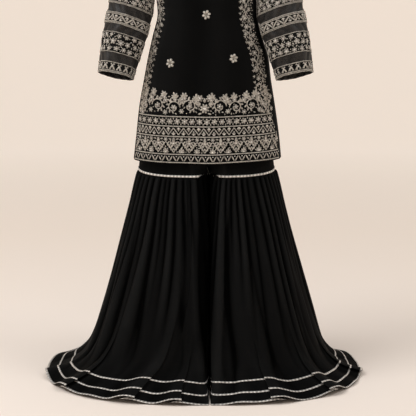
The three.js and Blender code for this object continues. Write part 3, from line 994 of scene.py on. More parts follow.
@dataclass
class Kameez:
    """The straight kameez: a front and a back panel, open at neck, armholes, slits and hem."""

    finishes: Finishes
    library: MotifLibrary
    hem: float = 0.720
    slit_top: float = 0.985
    slit_opening: float = 0.026
    underarm: float = 1.330
    shoulder_reach: float = 0.178
    shoulder_height: float = 1.455
    neck_reach: float = 0.079
    neck_height: float = 1.500
    front_drop: float = 0.098
    back_drop: float = 0.034
    armhole_half_depth: float = 0.050
    seam_gap: float = 0.0003
    roundness: float = 2.4
    ripple: float = 0.0035
    columns: int = 96
    skirt_rows: int = 66
    yoke_rows: int = 34
    rise_left: float = 0.005
    rise_right: float = 0.010
    rise_fades: float = 1.120
    heights: Row = (0.720, 0.800, 0.908, 0.985, 1.070, 1.140, 1.205, 1.256, 1.330, 1.400, 1.500)
    reaches: Row = (0.246, 0.237, 0.225, 0.211, 0.195, 0.179, 0.163, 0.166, 0.168, 0.171, 0.178)
    fronts: Row = (0.138, 0.133, 0.127, 0.121, 0.114, 0.112, 0.112, 0.112, 0.104, 0.086, 0.060)
    backs: Row = (0.128, 0.125, 0.120, 0.114, 0.106, 0.102, 0.099, 0.098, 0.094, 0.082, 0.060)
    fuller: Row = (0.006, 0.007, 0.004, 0.006, 0.011, 0.005, 0.006, 0.001, 0.0, 0.0, 0.0)
    drape: float = 0.0026
    pattern_shift: float = -0.006
    foot_of_vine: float = 0.163
    scrolls: Tuple[Tuple[float, float, float, int], ...] = (
        (0.049, 0.193, 0.0235, 1), (0.104, 0.189, 0.0225, -1), (0.158, 0.195, 0.0235, 1),
        (0.212, 0.192, 0.0215, -1), (0.262, 0.196, 0.0200, 1))
    lone_flowers: Tuple[Point2, ...] = ((0.0, 0.493), (-0.1205, 0.334), (0.0905, 0.350))
    cords: Row = (0.006, 0.033, 0.092, 0.126, 0.158)

    def shoulder_line(self, x: Array) -> Array:
        """The height of the shoulder seam at a distance from the middle."""
        share = (np.abs(x) - self.neck_reach) / (self.shoulder_reach - self.neck_reach)
        return self.neck_height + (self.shoulder_height - self.neck_height) * np.maximum(share, 0.0)

    def top(self, x: Array, face: Face) -> Array:
        """The height of a panel's upper edge: neckline in the middle, shoulder seam beside it.

        Args:
            x: Distances from the middle.
            face: Front or back.

        Returns:
            The heights.
        """
        drop = self.front_drop if face is Face.FRONT else self.back_drop
        share = np.minimum(np.abs(x) / self.neck_reach, 1.0)
        neck = self.neck_height - drop * np.sqrt(1.0 - share ** 2)
        return np.where(share < 1.0, neck, self.shoulder_line(x))

    def side_edge(self, height: Array) -> Array:
        """Half the opening between front and back at the side: slit, seam or armhole.

        Args:
            height: Heights above the floor.

        Returns:
            Half the openings.
        """
        open_slit = 1.0 - smooth(height, self.hem, self.slit_top)
        below = self.seam_gap / 2 + (self.slit_opening - self.seam_gap) / 2 * open_slit
        middle = (self.shoulder_height + self.underarm) / 2
        share = (height - middle) / (self.shoulder_height - middle)
        above = self.seam_gap / 2 + self.armhole_half_depth * np.sqrt(np.maximum(0.0, 1 - share ** 2))
        return np.where(height <= self.underarm, below, above)

    def point(self, across: Array, height: Array, face: Face) -> Array:
        """Finds points of a panel.

        Args:
            across: Shares of the half width, from -1 to 1.
            height: Heights above the floor.
            face: Front or back.

        Returns:
            The points, in the last axis.
        """
        across = np.clip(across, -1.0, 1.0)
        x = across * curve(self.heights, self.reaches, height)
        x = x + curve(self.heights, self.fuller, height) * np.maximum(across, 0.0) ** 3
        full = curve(self.heights, self.fronts if face is Face.FRONT else self.backs, height)
        edge = self.side_edge(height)
        profile = (1 - np.abs(across) ** self.roundness) ** (1 / self.roundness)
        depth = edge + (full - edge) * profile
        fall = smooth(self.slit_top + 0.06 - height, 0.0, self.slit_top + 0.06 - self.hem)
        drape = smooth(height, self.hem + 0.10, 1.0) * (1.0 - smooth(height, 1.28, 1.38))
        depth += self.drape * drape * profile * np.sin(7.5 * across + 6.0 * height + np.sin(9.0 * height))
        depth += self.ripple * fall * profile * np.cos(across * 8.5 + face.sign * 0.8)
        rise = np.clip((height - self.underarm) / (self.shoulder_line(x) - self.underarm), 0.0, 1.0)
        closing = np.where(np.abs(across) < 1.0, np.sqrt(1.0 - rise ** 2), 1.0)
        depth = np.maximum(self.seam_gap / 2, depth * closing)
        drawn = np.where(across < 0, self.rise_left, self.rise_right) * np.abs(across) ** 1.4
        drawn = drawn * (1.0 - smooth(height, self.hem, self.rise_fades))
        return np.stack([x, face.sign * depth, height + drawn], axis=-1)

    def grid(self, face: Face) -> Array:
        """The points of a panel's outer side.

        Args:
            face: Front or back.

        Returns:
            Rows that go up; where the panels are sewn together they meet.
        """
        across = -face.sign * np.linspace(-1.0, 1.0, self.columns + 1)
        top = self.top(across * self.shoulder_reach, face)
        skirt = np.linspace(self.hem, self.underarm, self.skirt_rows, endpoint=False)
        rows = [np.full_like(across, height) for height in skirt]
        for share in np.linspace(0.0, 1.0, self.yoke_rows) ** 0.8:
            rows.append(self.underarm + (top - self.underarm) * share)
        middle = np.stack([self.point(across, height, face) for height in rows])
        outer = middle + grid_normals(middle, False) * CLOTH_HALF
        sewn = np.zeros(outer.shape[:2], dtype=bool)
        sewn[int(np.searchsorted(skirt, self.slit_top)):len(skirt) + 1, [0, -1]] = True
        sewn[-1] |= np.abs(across) * self.shoulder_reach >= self.neck_reach
        outer[sewn, 1] = face.sign * self.seam_gap / 2
        return outer

    def ground(self, face: Face) -> Ground:
        """The panel's surface in flat coordinates, from its middle and from its hem.

        Args:
            face: Front or back.

        Returns:
            The surface.
        """
        heights = np.linspace(self.hem, self.underarm + 0.06, 90)
        shares = np.linspace(-1.0, 1.0, 241)
        reach = 0.34
        distances = np.linspace(-reach, reach, 281)
        table = []
        for height in heights:
            line = self.point(shares, np.full_like(shares, height), face)
            run = lengths(line)
            run -= run[len(shares) // 2]
            table.append(np.interp(distances, run, shares))
        across = np.array(table)

        def point(a: Array, b: Array) -> Array:
            """Finds the panel's points.

            Args:
                a: Flat distances from the middle.
                b: Flat distances from the hem.

            Returns:
                The points.
            """
            height = np.clip(b + self.hem, heights[0], heights[-1] - 1e-6)
            r = (height - heights[0]) / (heights[1] - heights[0])
            c = np.clip((a + reach) / (distances[1] - distances[0]), 0, len(distances) - 1.001)
            i, j = r.astype(int), c.astype(int)
            i = np.minimum(i, len(heights) - 2)
            fr, fc = r - i, c - j
            share = ((across[i, j] * (1 - fc) + across[i, j + 1] * fc) * (1 - fr)
                     + (across[i + 1, j] * (1 - fc) + across[i + 1, j + 1] * fc) * fr)
            return self.point(-face.sign * share, height + (b + self.hem - height), face)

        return Ground(point)

    def flat_at(self, height: float, face: Face, aside: float) -> float:
        """Finds where a place beside the middle is in flat distances.

        Args:
            height: The height over the hem.
            face: Front or back.
            aside: The distance in from the panel's edge, as seen straight on, negative at its left.

        Returns:
            The distance along the cloth from the middle.
        """
        shares = np.linspace(0.0, 1.0, 161)
        side = 1 if aside > 0 else -1
        line = self.point(-face.sign * side * shares, np.full_like(shares, self.hem + height), face)
        reach = np.abs(line[:, 0])
        return side * float(np.interp(reach[-1] - abs(aside), reach, lengths(line)))

    def build(self) -> None:
        """Makes both panels with their embroidery."""
        for face in Face:
            grid = self.grid(face)
            name = f"kameez_{face.value}_cloth"
            # Painted shade and highlights on the panels follow broad, shallow folds.
            panel = sheet_object(name, grid, False, self.finishes.crepe, reach=0.05, depth=0.006)
            stand_for(panel, "georgette", f"kameez_{face.value}")
            work = self.embroider(face)
            declare_sheet(panel, grid, False, 0.62, 0.80)

    def embroider(self, face: Face) -> Thing:
        """Works the borders of one panel.

        Args:
            face: Front or back.

        Returns:
            The embroidery's object.
        """
        work = Embroidery(self.library, seed=11 if face is Face.FRONT else 12)
        self.hem_bands(work, face)
        self.scroll_band(work, face)
        self.side_borders(work, face)
        if face is Face.FRONT:
            self.scattered_flowers(work)
        return work.finish(f"kameez_{face.value}_embroidery", self.ground(face), self.finishes.stitched(),
                           clearance=CLOTH_HALF + 0.0002)

    def limits(self, height: float, face: Face) -> Tuple[float, float]:
        """Where a band ends on each side, in flat distances from the middle."""
        bare = 0.009 + 0.008 * float(smooth(height, 0.0, 0.15)) if face is Face.FRONT else 0.008
        return self.flat_at(height, face, -0.005), self.flat_at(height, face, bare)

    def hem_bands(self, work: Embroidery, face: Face) -> None:
        """Works the four bands above the hem and the cords between them.

        Args:
            work: The embroidery.
            face: Front or back.
        """
        for height in self.cords:
            low, high = self.limits(height, face)
            work.rope((low, height), (high, height), width=0.0042)
        self.leaf_band(work, face, 0.0085, 0.0305)
        self.arcade_band(work, face, 0.0355, 0.0895)
        self.zigzag_band(work, face, 0.095, 0.1235)
        self.flower_band(work, face, 0.142, 0.0108)
        for low, high in ((0.037, 0.088), (0.096, 0.1225)):
            left, right = self.limits((low + high) / 2, face)
            work.fill((left, low), (right, high), everywhere, spacing=0.0056, room=0.0052)

    def leaf_band(self, work: Embroidery, face: Face, low: float, high: float) -> None:
        """Works the lowest band: a zigzag of leaves with a bead in each bay.

        Args:
            work: The embroidery.
            face: Front or back.
            low: The band's foot.
            high: Its top.
        """
        left, right = self.limits((low + high) / 2, face)
        count = int((right - left) / 0.0240)
        pitch = (right - left) / count
        middle, tall = (low + high) / 2, high - low
        for k in range(count):
            x = left + (k + 0.5) * pitch
            for side in (-1, 1):
                work.leaf((x + side * pitch * 0.46, low + 0.001), 0.98 * tall, math.pi / 2 + side * 0.50, width=0.21)
            work.bead((x + pitch / 2, middle + 0.28 * tall), 0.0042, 0.0022, 0.0003)

    def arcade_band(self, work: Embroidery, face: Face, low: float, high: float) -> None:
        """Works the widest band: arches with half flowers in them and buds between them.

        Args:
            work: The embroidery.
            face: Front or back.
            low: The band's foot.
            high: Its top.
        """
        left, right = self.limits((low + high) / 2, face)
        count = int(round((right - left) / 0.054))
        pitch = (right - left) / count
        tall = high - low
        for k in range(count):
            x = left + (k + 0.5) * pitch
            share = np.linspace(-1.0, 1.0, 15)
            arch = np.stack([x + share * pitch / 2, low + tall * (0.06 + 0.66 * (1 - np.abs(share) ** 1.2))], axis=1)
            work.ridge(arch, 0.0034, 0.0016, work.CORD)
            for side in (-1, 1):
                for step in (0.22, 0.42, 0.62, 0.82):
                    foot = (x + side * step * pitch / 2, low + tall * (0.06 + 0.66 * (1 - step ** 1.2)))
                    work.leaf(foot, 0.0105, math.pi / 2 - side * 0.75, width=0.5)
                    if step < 0.7:
                        work.leaf(foot, 0.0090, -math.pi / 2 + side * 0.15, width=0.5)
            work.fleur((x, low + 0.002), 0.0175, math.pi / 2, leaves=5, spread=1.15)
            work.bead((x, low + 0.005), 0.0055, 0.0028, 0.0006)
            self.bud(work, (x + pitch / 2, low + tall * 0.66), 0.019)
            work.flower((x, high - 0.0075), 0.0072, petals=6)
            for side in (-1, 1):
                work.leaf((x + side * 0.009, high - 0.0045), 0.0105, -0.25 if side > 0 else math.pi + 0.25, width=0.5)

    def bud(self, work: Embroidery, at: Point2, size: float) -> None:
        """Works a tear-shaped bud with a bead at its foot.

        Args:
            work: The embroidery.
            at: Its middle.
            size: Its length.
        """
        work.leaf((at[0], at[1] - 0.2 * size), 1.15 * size, math.pi / 2, width=0.46, height=0.0020)
        for side in (-1, 1):
            work.leaf((at[0], at[1] - 0.35 * size), 0.85 * size, math.pi / 2 + side * 0.85, width=0.4)
            work.leaf((at[0], at[1] - 0.4 * size), 0.6 * size, -side * 0.3 + (0.0 if side > 0 else math.pi), width=0.4)
        work.bead((at[0], at[1] - 0.1 * size), 0.0058, 0.0030, 0.0010)

    def zigzag_band(self, work: Embroidery, face: Face, low: float, high: float) -> None:
        """Works the zigzag band, with a sprig in each bay.

        Args:
            work: The embroidery.
            face: Front or back.
            low: The band's foot.
            high: Its top.
        """
        left, right = self.limits((low + high) / 2, face)
        count = int(round((right - left) / 0.033))
        pitch = (right - left) / count
        corners = [(left + k * pitch / 2, low + 0.003 if k % 2 == 0 else high - 0.003) for k in range(2 * count + 1)]
        for first, second in zip(corners[:-1], corners[1:]):
            work.rope(first, second, width=0.0040, pitch=0.0036)
        for k in range(1, 2 * count):
            upper = k % 2 == 0
            x = left + k * pitch / 2
            foot = (x, high - 0.001) if upper else (x, low + 0.001)
            turn = -math.pi / 2 if upper else math.pi / 2
            work.fleur(foot, 0.0150, turn, leaves=3, spread=0.66)
            work.bead((x, foot[1] + math.sin(turn) * 0.0030), 0.0044, 0.0026, 0.0008)

    def flower_band(self, work: Embroidery, face: Face, middle: float, radius: float) -> None:
        """Works the row of round flowers.

        Args:
            work: The embroidery.
            face: Front or back.
            middle: The height of the row.
            radius: The flowers' radius.
        """
        left, right = self.limits(middle, face)
        count = int(round((right - left) / 0.0252))
        pitch = (right - left) / count
        for k in range(count):
            x = left + (k + 0.5) * pitch
            work.flower((x, middle), radius * work.random.uniform(0.94, 1.04), petals=6)
            for side in (-1, 1):
                work.leaf((x + pitch / 2, middle + side * 0.0055), 0.0072, side * math.pi / 2, width=0.5)

    def scroll_top(self, a: Array) -> Array:
        """The height of the scrolling band's upper edge at flat distances from the middle."""
        return 0.237 + 0.020 * np.minimum(np.abs(a) / 0.21, 1.2) ** 1.3

    def scroll_band(self, work: Embroidery, face: Face) -> None:
        """Works the scrolling stems over the bands, higher at the sides than in the middle.

        Args:
            work: The embroidery.
            face: Front or back.
        """
        left, right = self.limits(0.19, face)
        middle = self.pattern_shift if face is Face.FRONT else 0.0
        for side in (-1, 1):
            for far, height, radius, turn in self.scrolls:
                x = middle + side * far
                if not left + 0.02 < x < right - 0.02:
                    continue
                start = math.pi / 2 - side * turn * math.pi / 2
                work.scroll((x, height), radius, start, side * turn, leaves=8)
                work.flower((x + side * 0.028, height - 0.017), 0.0088, petals=6)
                work.flower((x + side * 0.026, height + 0.023), 0.0096, petals=6)
            for k in range(7):
                x = middle + side * (0.026 + 0.0365 * k + work.random.uniform(-0.004, 0.004))
                if left + 0.008 < x < right - 0.008:
                    top = float(self.scroll_top(np.array(x))) + work.random.uniform(-0.006, 0.002)
                    lean = work.random.uniform(-0.35, 0.35) - side * 0.12
                    work.fleur((x, top - 0.022), 0.0215, math.pi / 2 + lean, leaves=5, spread=1.15)
                    work.flower((x, top - 0.025), 0.0074, petals=5)
                    work.fleur((x + side * 0.018, top - 0.034), 0.0150, math.pi / 2 - lean, leaves=3, spread=0.8)
        self.centre_spray(work, middle)

        def under(a: Array, b: Array) -> Array:
            """Tells which points lie under the sprays."""
            return b < self.scroll_top(a) - 0.018

        work.fill((left, self.foot_of_vine), (right, 0.27), under, spacing=0.0078, room=0.0068)

    def centre_spray(self, work: Embroidery, middle: float) -> None:
        """Works the flowers in the middle of the scrolling band.

        Args:
            work: The embroidery.
            middle: Where the pattern's middle is.
        """
        work.flower((middle, 0.186), 0.0165, petals=8)
        work.flower((middle, 0.186), 0.0090, petals=6)
        work.fleur((middle, 0.206), 0.0155, math.pi / 2, leaves=3, spread=0.5)
        for side in (-1, 1):
            work.flower((middle + side * 0.0155, 0.2195), 0.0118, petals=6)
            outward = 0.0 if side > 0 else math.pi
            for lean in (-0.9, -0.35, 0.2):
                work.leaf((middle + side * 0.013, 0.203), 0.0165, outward + side * lean, width=0.4)
            work.leaf((middle + side * 0.010, 0.171), 0.013, outward - side * 0.3, width=0.45)

    def side_borders(self, work: Embroidery, face: Face) -> None:
        """Works the flowering vine up each side, from the hem bands to the armhole.

        Args:
            work: The embroidery.
            face: Front or back.
        """
        front = face is Face.FRONT
        widths = {-1: (0.0235, 0.004), 1: (0.058, 0.0165)} if front else {-1: (0.045, 0.010), 1: (0.045, 0.010)}
        heights = np.arange(self.foot_of_vine, self.underarm - self.hem, 0.0095)
        for side, (inner, outer) in widths.items():
            near = np.array([self.flat_at(height, face, side * inner) for height in heights])
            far = np.array([self.flat_at(height, face, side * outer) for height in heights])
            taper = np.sqrt(np.clip((heights[-1] - heights) / 0.034, 0.02, 1.0))
            middle, half = (near + far) / 2, np.abs(far - near) / 2 * taper
            wave = 0.34 * np.sin(2 * math.pi * heights / 0.088)
            stem = middle + wave * half
            work.ridge(np.stack([stem, heights], axis=1), 0.0026, 0.0014, work.CORD)
            inward = math.pi if side > 0 else 0.0
            for k, height in enumerate(heights):
                lean = 1 if k % 2 == 0 else -1
                work.leaf((stem[k], height), work.random.uniform(0.011, 0.014), math.pi / 2 + lean * 0.85, width=0.46)
                if k % 3 == 0:
                    beside = stem[k] - math.copysign(0.62 * half[k], wave[k])
                    work.flower((beside, height + 0.004), work.random.uniform(0.0085, 0.0100), petals=6)
                if k % 3 == 1:
                    beside = stem[k] + math.copysign(0.50 * half[k], wave[k])
                    work.flower((beside, height), work.random.uniform(0.0065, 0.0078), petals=5)
                if k % 2 == 1:
                    work.fleur((middle[k] - side * 0.82 * half[k], height), 0.0100, inward + 0.25 * lean, leaves=3,
                               spread=0.85)

            def inside(a: Array, b: Array) -> Array:
                """Tells which points lie in this border."""
                return np.abs(a - np.interp(b, heights, middle)) < 0.92 * np.interp(b, heights, half)

            work.fill((min(near.min(), far.min()), heights[0]), (max(near.max(), far.max()), heights[-1]), inside,
                      spacing=0.0056, room=0.0046)

    def scattered_flowers(self, work: Embroidery) -> None:
        """Works the three lone flowers on the plain front.

        Args:
            work: The embroidery.
        """
        for at in self.lone_flowers:
            for k in range(6):
                angle = 2 * math.pi * k / 6 + 0.25
                petal = (at[0] + 0.0090 * math.cos(angle), at[1] + 0.0100 * math.sin(angle))
                work.stitch(Stitch.PETAL, petal, (0.0120, 0.0100, 0.0036), angle, work.CORD)
                work.bead(petal, 0.0034, 0.0046)
            for k in range(5):
                angle = 2 * math.pi * k / 5
                bead = (at[0] + 0.0028 * math.cos(angle), at[1] + 0.0028 * math.sin(angle))
                work.stitch(Stitch.BEAD, bead, (0.0034, 0.0034, 0.0030), 0.0, work.THREAD)


# Sleeves

@dataclass
class Sleeve:
    """A sheer sleeve with four embroidered bands."""

    finishes: Finishes
    library: MotifLibrary
    side: Side
    columns: int = 120
    rows_each: int = 7
    crease: float = 0.0022
    creases: int = 5
    heights: Row = (1.010, 1.044, 1.071, 1.134, 1.159, 1.196, 1.224, 1.288, 1.330, 1.362, 1.3925)
    reaches: Row = (0.302, 0.295, 0.288, 0.273, 0.266, 0.258, 0.252, 0.246, 0.234, 0.208, 0.1729)
    forwards: Row = (0.074, 0.065, 0.057, 0.042, 0.036, 0.029, 0.023, 0.013, 0.007, 0.003, 0.0)
    tilts: Row = (12, 13, 14, 16, 18, 18, 18, 20, 33, 60, 87)
    leans: Row = (15, 15, 16, 16, 15, 14, 13, 9, 3, 1, 0)
    widths: Row = (0.056, 0.060, 0.064, 0.070, 0.072, 0.073, 0.073, 0.074, 0.074, 0.068, 0.0615)
    depths: Row = (0.053, 0.056, 0.059, 0.064, 0.065, 0.066, 0.066, 0.066, 0.062, 0.056, 0.050)
    right_insets: Row = (.009, .009, .009, .009, .009, .009, .009, .004, .003, 0.0, 0.0)
    right_forwards: Row = (.004, .008, .014, .014, .014, .014, .014, .010, .004, 0.0, 0.0)
    right_widths: Row = (.003, .003, .003, .003, .003, .003, .003, 0.0, 0.0, 0.0, 0.0)
    bands: Tuple[Tuple[str, int, int], ...] = (("band_1", 6, 7), ("band_2", 4, 5), ("band_3", 2, 3), ("band_4", 0, 1))

    def point(self, angle: Array, ring: Array) -> Array:
        """Finds points of the sleeve, on the right arm's side.

        Args:
            angle: Angles round the sleeve, 0 at its outer side and rising to the back.
            ring: Places along it, counted in rings from the cuff.

        Returns:
            The points, in the last axis.
        """
        order = np.arange(len(self.heights), dtype=float)

        def read(values: Sequence[float]) -> Array:
            """Reads one table at the rings."""
            return curve(order, values, ring)

        loose = self.crease * (1.0 - smooth(ring, 8.0, 9.0))
        right = 1.0 if self.side is Side.RIGHT else 0.0
        fold = loose * np.sin(self.creases * angle + 0.5 * ring)
        soft = 0.0014 * np.sin(13 * angle + 2.1 * np.sin(1.7 * ring)) * (loose / self.crease)
        wide = (read(self.widths) + right * read(self.right_widths) + fold + soft) * np.cos(angle)
        deep = (read(self.depths) + fold + soft) * np.sin(angle)
        tilt, lean = np.radians(read(self.tilts)), np.radians(read(self.leans))
        return np.stack([
            read(self.reaches) - right * read(self.right_insets) + wide * np.cos(tilt),
            -read(self.forwards) - right * read(self.right_forwards) + deep * np.cos(lean),
            read(self.heights) + wide * np.sin(tilt) - deep * np.sin(lean)], axis=-1)

    def grid(self, low: float, high: float, rows: int, lift: float) -> Array:
        """The points of a stretch of the sleeve, moved out.

        Args:
            low: The ring at its foot.
            high: The ring at its top.
            rows: How many rows of cloth it has.
            lift: How far out of the sleeve it lies.

        Returns:
            Rows that go up, with columns anticlockwise seen from above.
        """
        angle = np.linspace(0.0, 2 * math.pi, self.columns, endpoint=False)
        ring = np.linspace(low, high, rows + 1)
        angles, rings = np.meshgrid(angle, ring)
        points = self.point(angles, rings)
        points = points + grid_normals(points, True) * lift
        return mirrored(points) if self.side is Side.LEFT else points

    def build(self) -> None:
        """Makes the sleeve and its bands."""
        last = len(self.heights) - 1
        name = f"sleeve_{self.side.value}"
        grid = self.grid(0, last, self.rows_each * last, CLOTH_HALF)
        cloth = sheet_object(f"{name}_cloth", grid, True, self.finishes.sheer)
        stand_for(cloth, "sheer_net", name)
        declare_sheet(cloth, grid, True, 0.48, 0.50)
        makers = (self.flower_rows, self.zigzag, self.flower_field, self.cuff)
        for (band, low, high), maker in zip(self.bands, makers):
            strip_grid = self.grid(low, high, self.rows_each, 2.3 * CLOTH_HALF)
            strip = sheet_object(f"{name}_{band}_cloth", strip_grid, True, self.finishes.crepe)
            work = Embroidery(self.library, seed=20 + low + (50 if self.side is Side.LEFT else 0))
            tall = float(np.linalg.norm(np.diff(strip_grid[:, 0], axis=0), axis=1).sum())
            round_it = float(np.linalg.norm(strip_grid[0] - np.roll(strip_grid[0], 1, axis=0), axis=1).sum())
            maker(work, round_it, tall)
            sewn = work.finish(f"{name}_{band}_embroidery", self.ground(low, high, round_it, tall),
                               self.finishes.stitched(), clearance=2.6 * CLOTH_HALF)
            stand_for(strip, "embroidery", f"{name}_{band}")
            declare_sheet(strip, strip_grid, True, round(round_it + 0.03, 3), round(tall * 1.05, 3))

    def ground(self, low: int, high: int, round_it: float, tall: float) -> Ground:
        """A band's surface in flat coordinates, from the front of the sleeve and from the band's foot.

        Args:
            low: The ring at its foot.
            high: The ring at its top.
            round_it: The band's length round the sleeve.
            tall: The band's height.

        Returns:
            The surface.
        """
        flip = 1 if self.side is Side.RIGHT else -1

        def point(a: Array, b: Array) -> Array:
            """Finds the band's points.

            Args:
                a: Flat distances from the front of the sleeve.
                b: Flat distances from the band's foot.

            Returns:
                The points.
            """
            angle = -math.pi / 2 + flip * a / round_it * 2 * math.pi
            points = self.point(angle, low + b / tall * (high - low))
            points[..., 0] *= self.side.sign
            return points

        return Ground(point)

    def ropes(self, work: Embroidery, round_it: float, tall: float, double: bool) -> float:
        """Works the cords along a band's edges.

        Args:
            work: The embroidery.
            round_it: The band's length round the sleeve.
            tall: The band's height.
            double: Whether each edge has two cords.

        Returns:
            How much of the height each edge takes.
        """
        heights = [0.0020, tall - 0.0020] + ([0.0066, tall - 0.0066] if double else [])
        for height in heights:
            work.rope((-round_it / 2, height), (round_it / 2, height), width=0.0040, pitch=0.0038)
        return 0.0090 if double else 0.0045

    def filled(self, work: Embroidery, round_it: float, low: float, high: float, room: float = 0.0042) -> None:
        """Fills what is bare between a band's cords."""
        work.fill((-round_it / 2, low), (round_it / 2, high), everywhere, spacing=0.0056, room=room)

    def flower_rows(self, work: Embroidery, round_it: float, tall: float) -> None:
        """Works the highest band: flowers between doubled cords.

        Args:
            work: The embroidery.
            round_it: The band's length round the sleeve.
            tall: The band's height.
        """
        edge = self.ropes(work, round_it, tall, True)
        self.flowers(work, round_it, edge + 0.0095, tall - edge - 0.0095, 3, 19)
        self.filled(work, round_it, edge, tall - edge)

    def flowers(self, work: Embroidery, round_it: float, low: float, high: float, rows: int, count: int) -> None:
        """Works rows of flowers, each row set between the flowers of the last.

        Args:
            work: The embroidery.
            round_it: The band's length round the sleeve.
            low: The height of the first row.
            high: The height of the last row.
            rows: How many rows there are.
            count: How many flowers each row has.
        """
        for r in range(rows):
            for k in range(count):
                x = -round_it / 2 + (k + 0.5 * (r % 2) + work.random.uniform(-0.12, 0.12)) * round_it / count
                y = low + (high - low) * r / (rows - 1) + work.random.uniform(-0.0015, 0.0015)
                work.flower((x, y), work.random.uniform(0.0082, 0.0100), petals=5 + (k + r) % 2)

    def zigzag(self, work: Embroidery, round_it: float, tall: float) -> None:
        """Works a zigzag cord with sprigs in its bays.

        Args:
            work: The embroidery.
            round_it: The band's length round the sleeve.
            tall: The band's height.
        """
        edge = self.ropes(work, round_it, tall, True)
        count = 12
        pitch = round_it / count
        low, high = edge + 0.001, tall - edge - 0.001
        for k in range(2 * count):
            x = -round_it / 2 + k * pitch / 2
            upper = k % 2 == 1
            start, end = ((x, high), (x + pitch / 2, low)) if upper else ((x, low), (x + pitch / 2, high))
            work.rope(start, end, width=0.0052, pitch=0.0038)
            foot = (x, low + 0.0004) if upper else (x, high - 0.0004)
            turn = math.pi / 2 if upper else -math.pi / 2
            work.fleur(foot, 0.0125, turn, leaves=3, spread=0.85)
            work.bead((x, foot[1] + math.sin(turn) * 0.003), 0.0044, 0.0028, 0.0008)
        self.filled(work, round_it, low, high, 0.0046)

    def flower_field(self, work: Embroidery, round_it: float, tall: float) -> None:
        """Works flowers and leaves scattered over a wide band.

        Args:
            work: The embroidery.
            round_it: The band's length round the sleeve.
            tall: The band's height.
        """
        edge = self.ropes(work, round_it, tall, False)
        self.flowers(work, round_it, edge + 0.0095, tall - edge - 0.0095, 3, 17)
        self.filled(work, round_it, edge + 0.001, tall - edge - 0.001, 0.0050)

    def cuff(self, work: Embroidery, round_it: float, tall: float) -> None:
        """Works the cuff: crossed leaves between cords.

        Args:
            work: The embroidery.
            round_it: The band's length round the sleeve.
            tall: The band's height.
        """
        edge = self.ropes(work, round_it, tall, False)
        work.rope((-round_it / 2, 0.0066), (round_it / 2, 0.0066), width=0.0040, pitch=0.0038)
        count = 16
        pitch = round_it / count
        low, high = edge + 0.005, tall - edge
        for k in range(count):
            x = -round_it / 2 + (k + 0.5) * pitch
            for lean in (-1, 1):
                work.leaf((x - lean * pitch * 0.40, low), 1.06 * (high - low), math.pi / 2 - lean * 0.58, width=0.24)
                work.leaf((x + lean * 0.0025, high - 0.001), 0.0070, -math.pi / 2 + lean * 0.7, width=0.5)
                work.leaf((x + lean * 0.0025, low + 0.001), 0.0070, math.pi / 2 - lean * 0.7, width=0.5)
            work.bead((x, (low + high) / 2), 0.0044, 0.0028, 0.0010)


def mirrored(grid: Array) -> Array:
    """Mirrors a closed grid to the other side, and keeps it facing out."""
    flipped = grid * np.array([-1.0, 1.0, 1.0])
    return np.concatenate([flipped[:, :1], flipped[:, :0:-1]], axis=1)


# Gharara

def half_outline(reach: float, depth: float, roundness: float, inner: float, corner: float,
                 end: float = 0.0) -> Array:
    """Draws half of a leg's outline, from its outer side round to its inner side.

    Args:
        reach: How far its outer side is from the middle.
        depth: How deep it is.
        roundness: 2 for an ellipse, more for a squarer shape.
        inner: How far its inner side is from the middle.
        corner: The radius of its inner corner.
        end: Where its inner side ends.

    Returns:
        The outline's points.
    """
    angle = np.linspace(0.0, math.pi / 2, 90)
    x = inner + (reach - inner) * np.cos(angle) ** (2 / roundness)
    y = depth * np.sin(angle) ** (2 / roundness)
    keep = x > inner + corner
    turn = np.linspace(math.pi / 2, math.pi, 14)
    arc = np.stack([inner + corner + corner * np.cos(turn), depth - corner + corner * np.sin(turn)], axis=1)
    path = [np.stack([x[keep], y[keep]], axis=1), arc]
    if end < depth - corner:
        path.append(np.array([[inner, end]]))
    return np.concatenate(path)


def walk(path: Array, share: Array) -> Array:
    """Finds the points at shares of a path's length."""
    run = lengths(path)
    return np.stack([np.interp(share * run[-1], run, path[:, k]) for k in (0, 1)], axis=-1)


OUTER_RISE = 0.014
INNER_RISE = 0.011
SPLIT_LEAN = 0.011
JOINT_CORNER = 0.056


def joint_rise(around: Array, height: Array) -> Array:
    """How far the seam of upper and lower leg, and the cloth near it, is drawn up.

    Args:
        around: 0 at the outer side of a leg, 1 at its inner side.
        height: Heights above the floor.

    Returns:
        Distances up.
    """
    outer = np.maximum(0.0, 1 - around / 0.45) ** 2 * OUTER_RISE
    inner = np.maximum(0.0, 1 - (1 - around) / 0.45) ** 2 * INNER_RISE
    return (outer + inner) * smooth(height, 0.560, 0.655) * (1 - smooth(height, 0.683, 0.850))


def leant(x: Array, depth_share: Array, side: Side) -> Array:
    """Moves points by the lean of the split between the legs.

    Args:
        x: Distances from the middle.
        depth_share: Shares of the leg's depth, below 0 in front.
        side: The leg.

    Returns:
        The new distances.
    """
    return x - side.sign * SPLIT_LEAN * depth_share * (1 - smooth(x, 0.0, 0.120))


@dataclass(frozen=True)
class Fold:
    """A big fold of the lower leg.

    Its place goes round a leg from its outer side over the back to the front, at the hem and
    higher up. Overlap is the cloth laid back on itself at the hem, and facing says which way
    the crest looks, or 0 for a soft ridge.
    """

    place: float
    upper: float
    width: float
    height: float
    start: float
    overlap: float = 0.0
    facing: int = 0


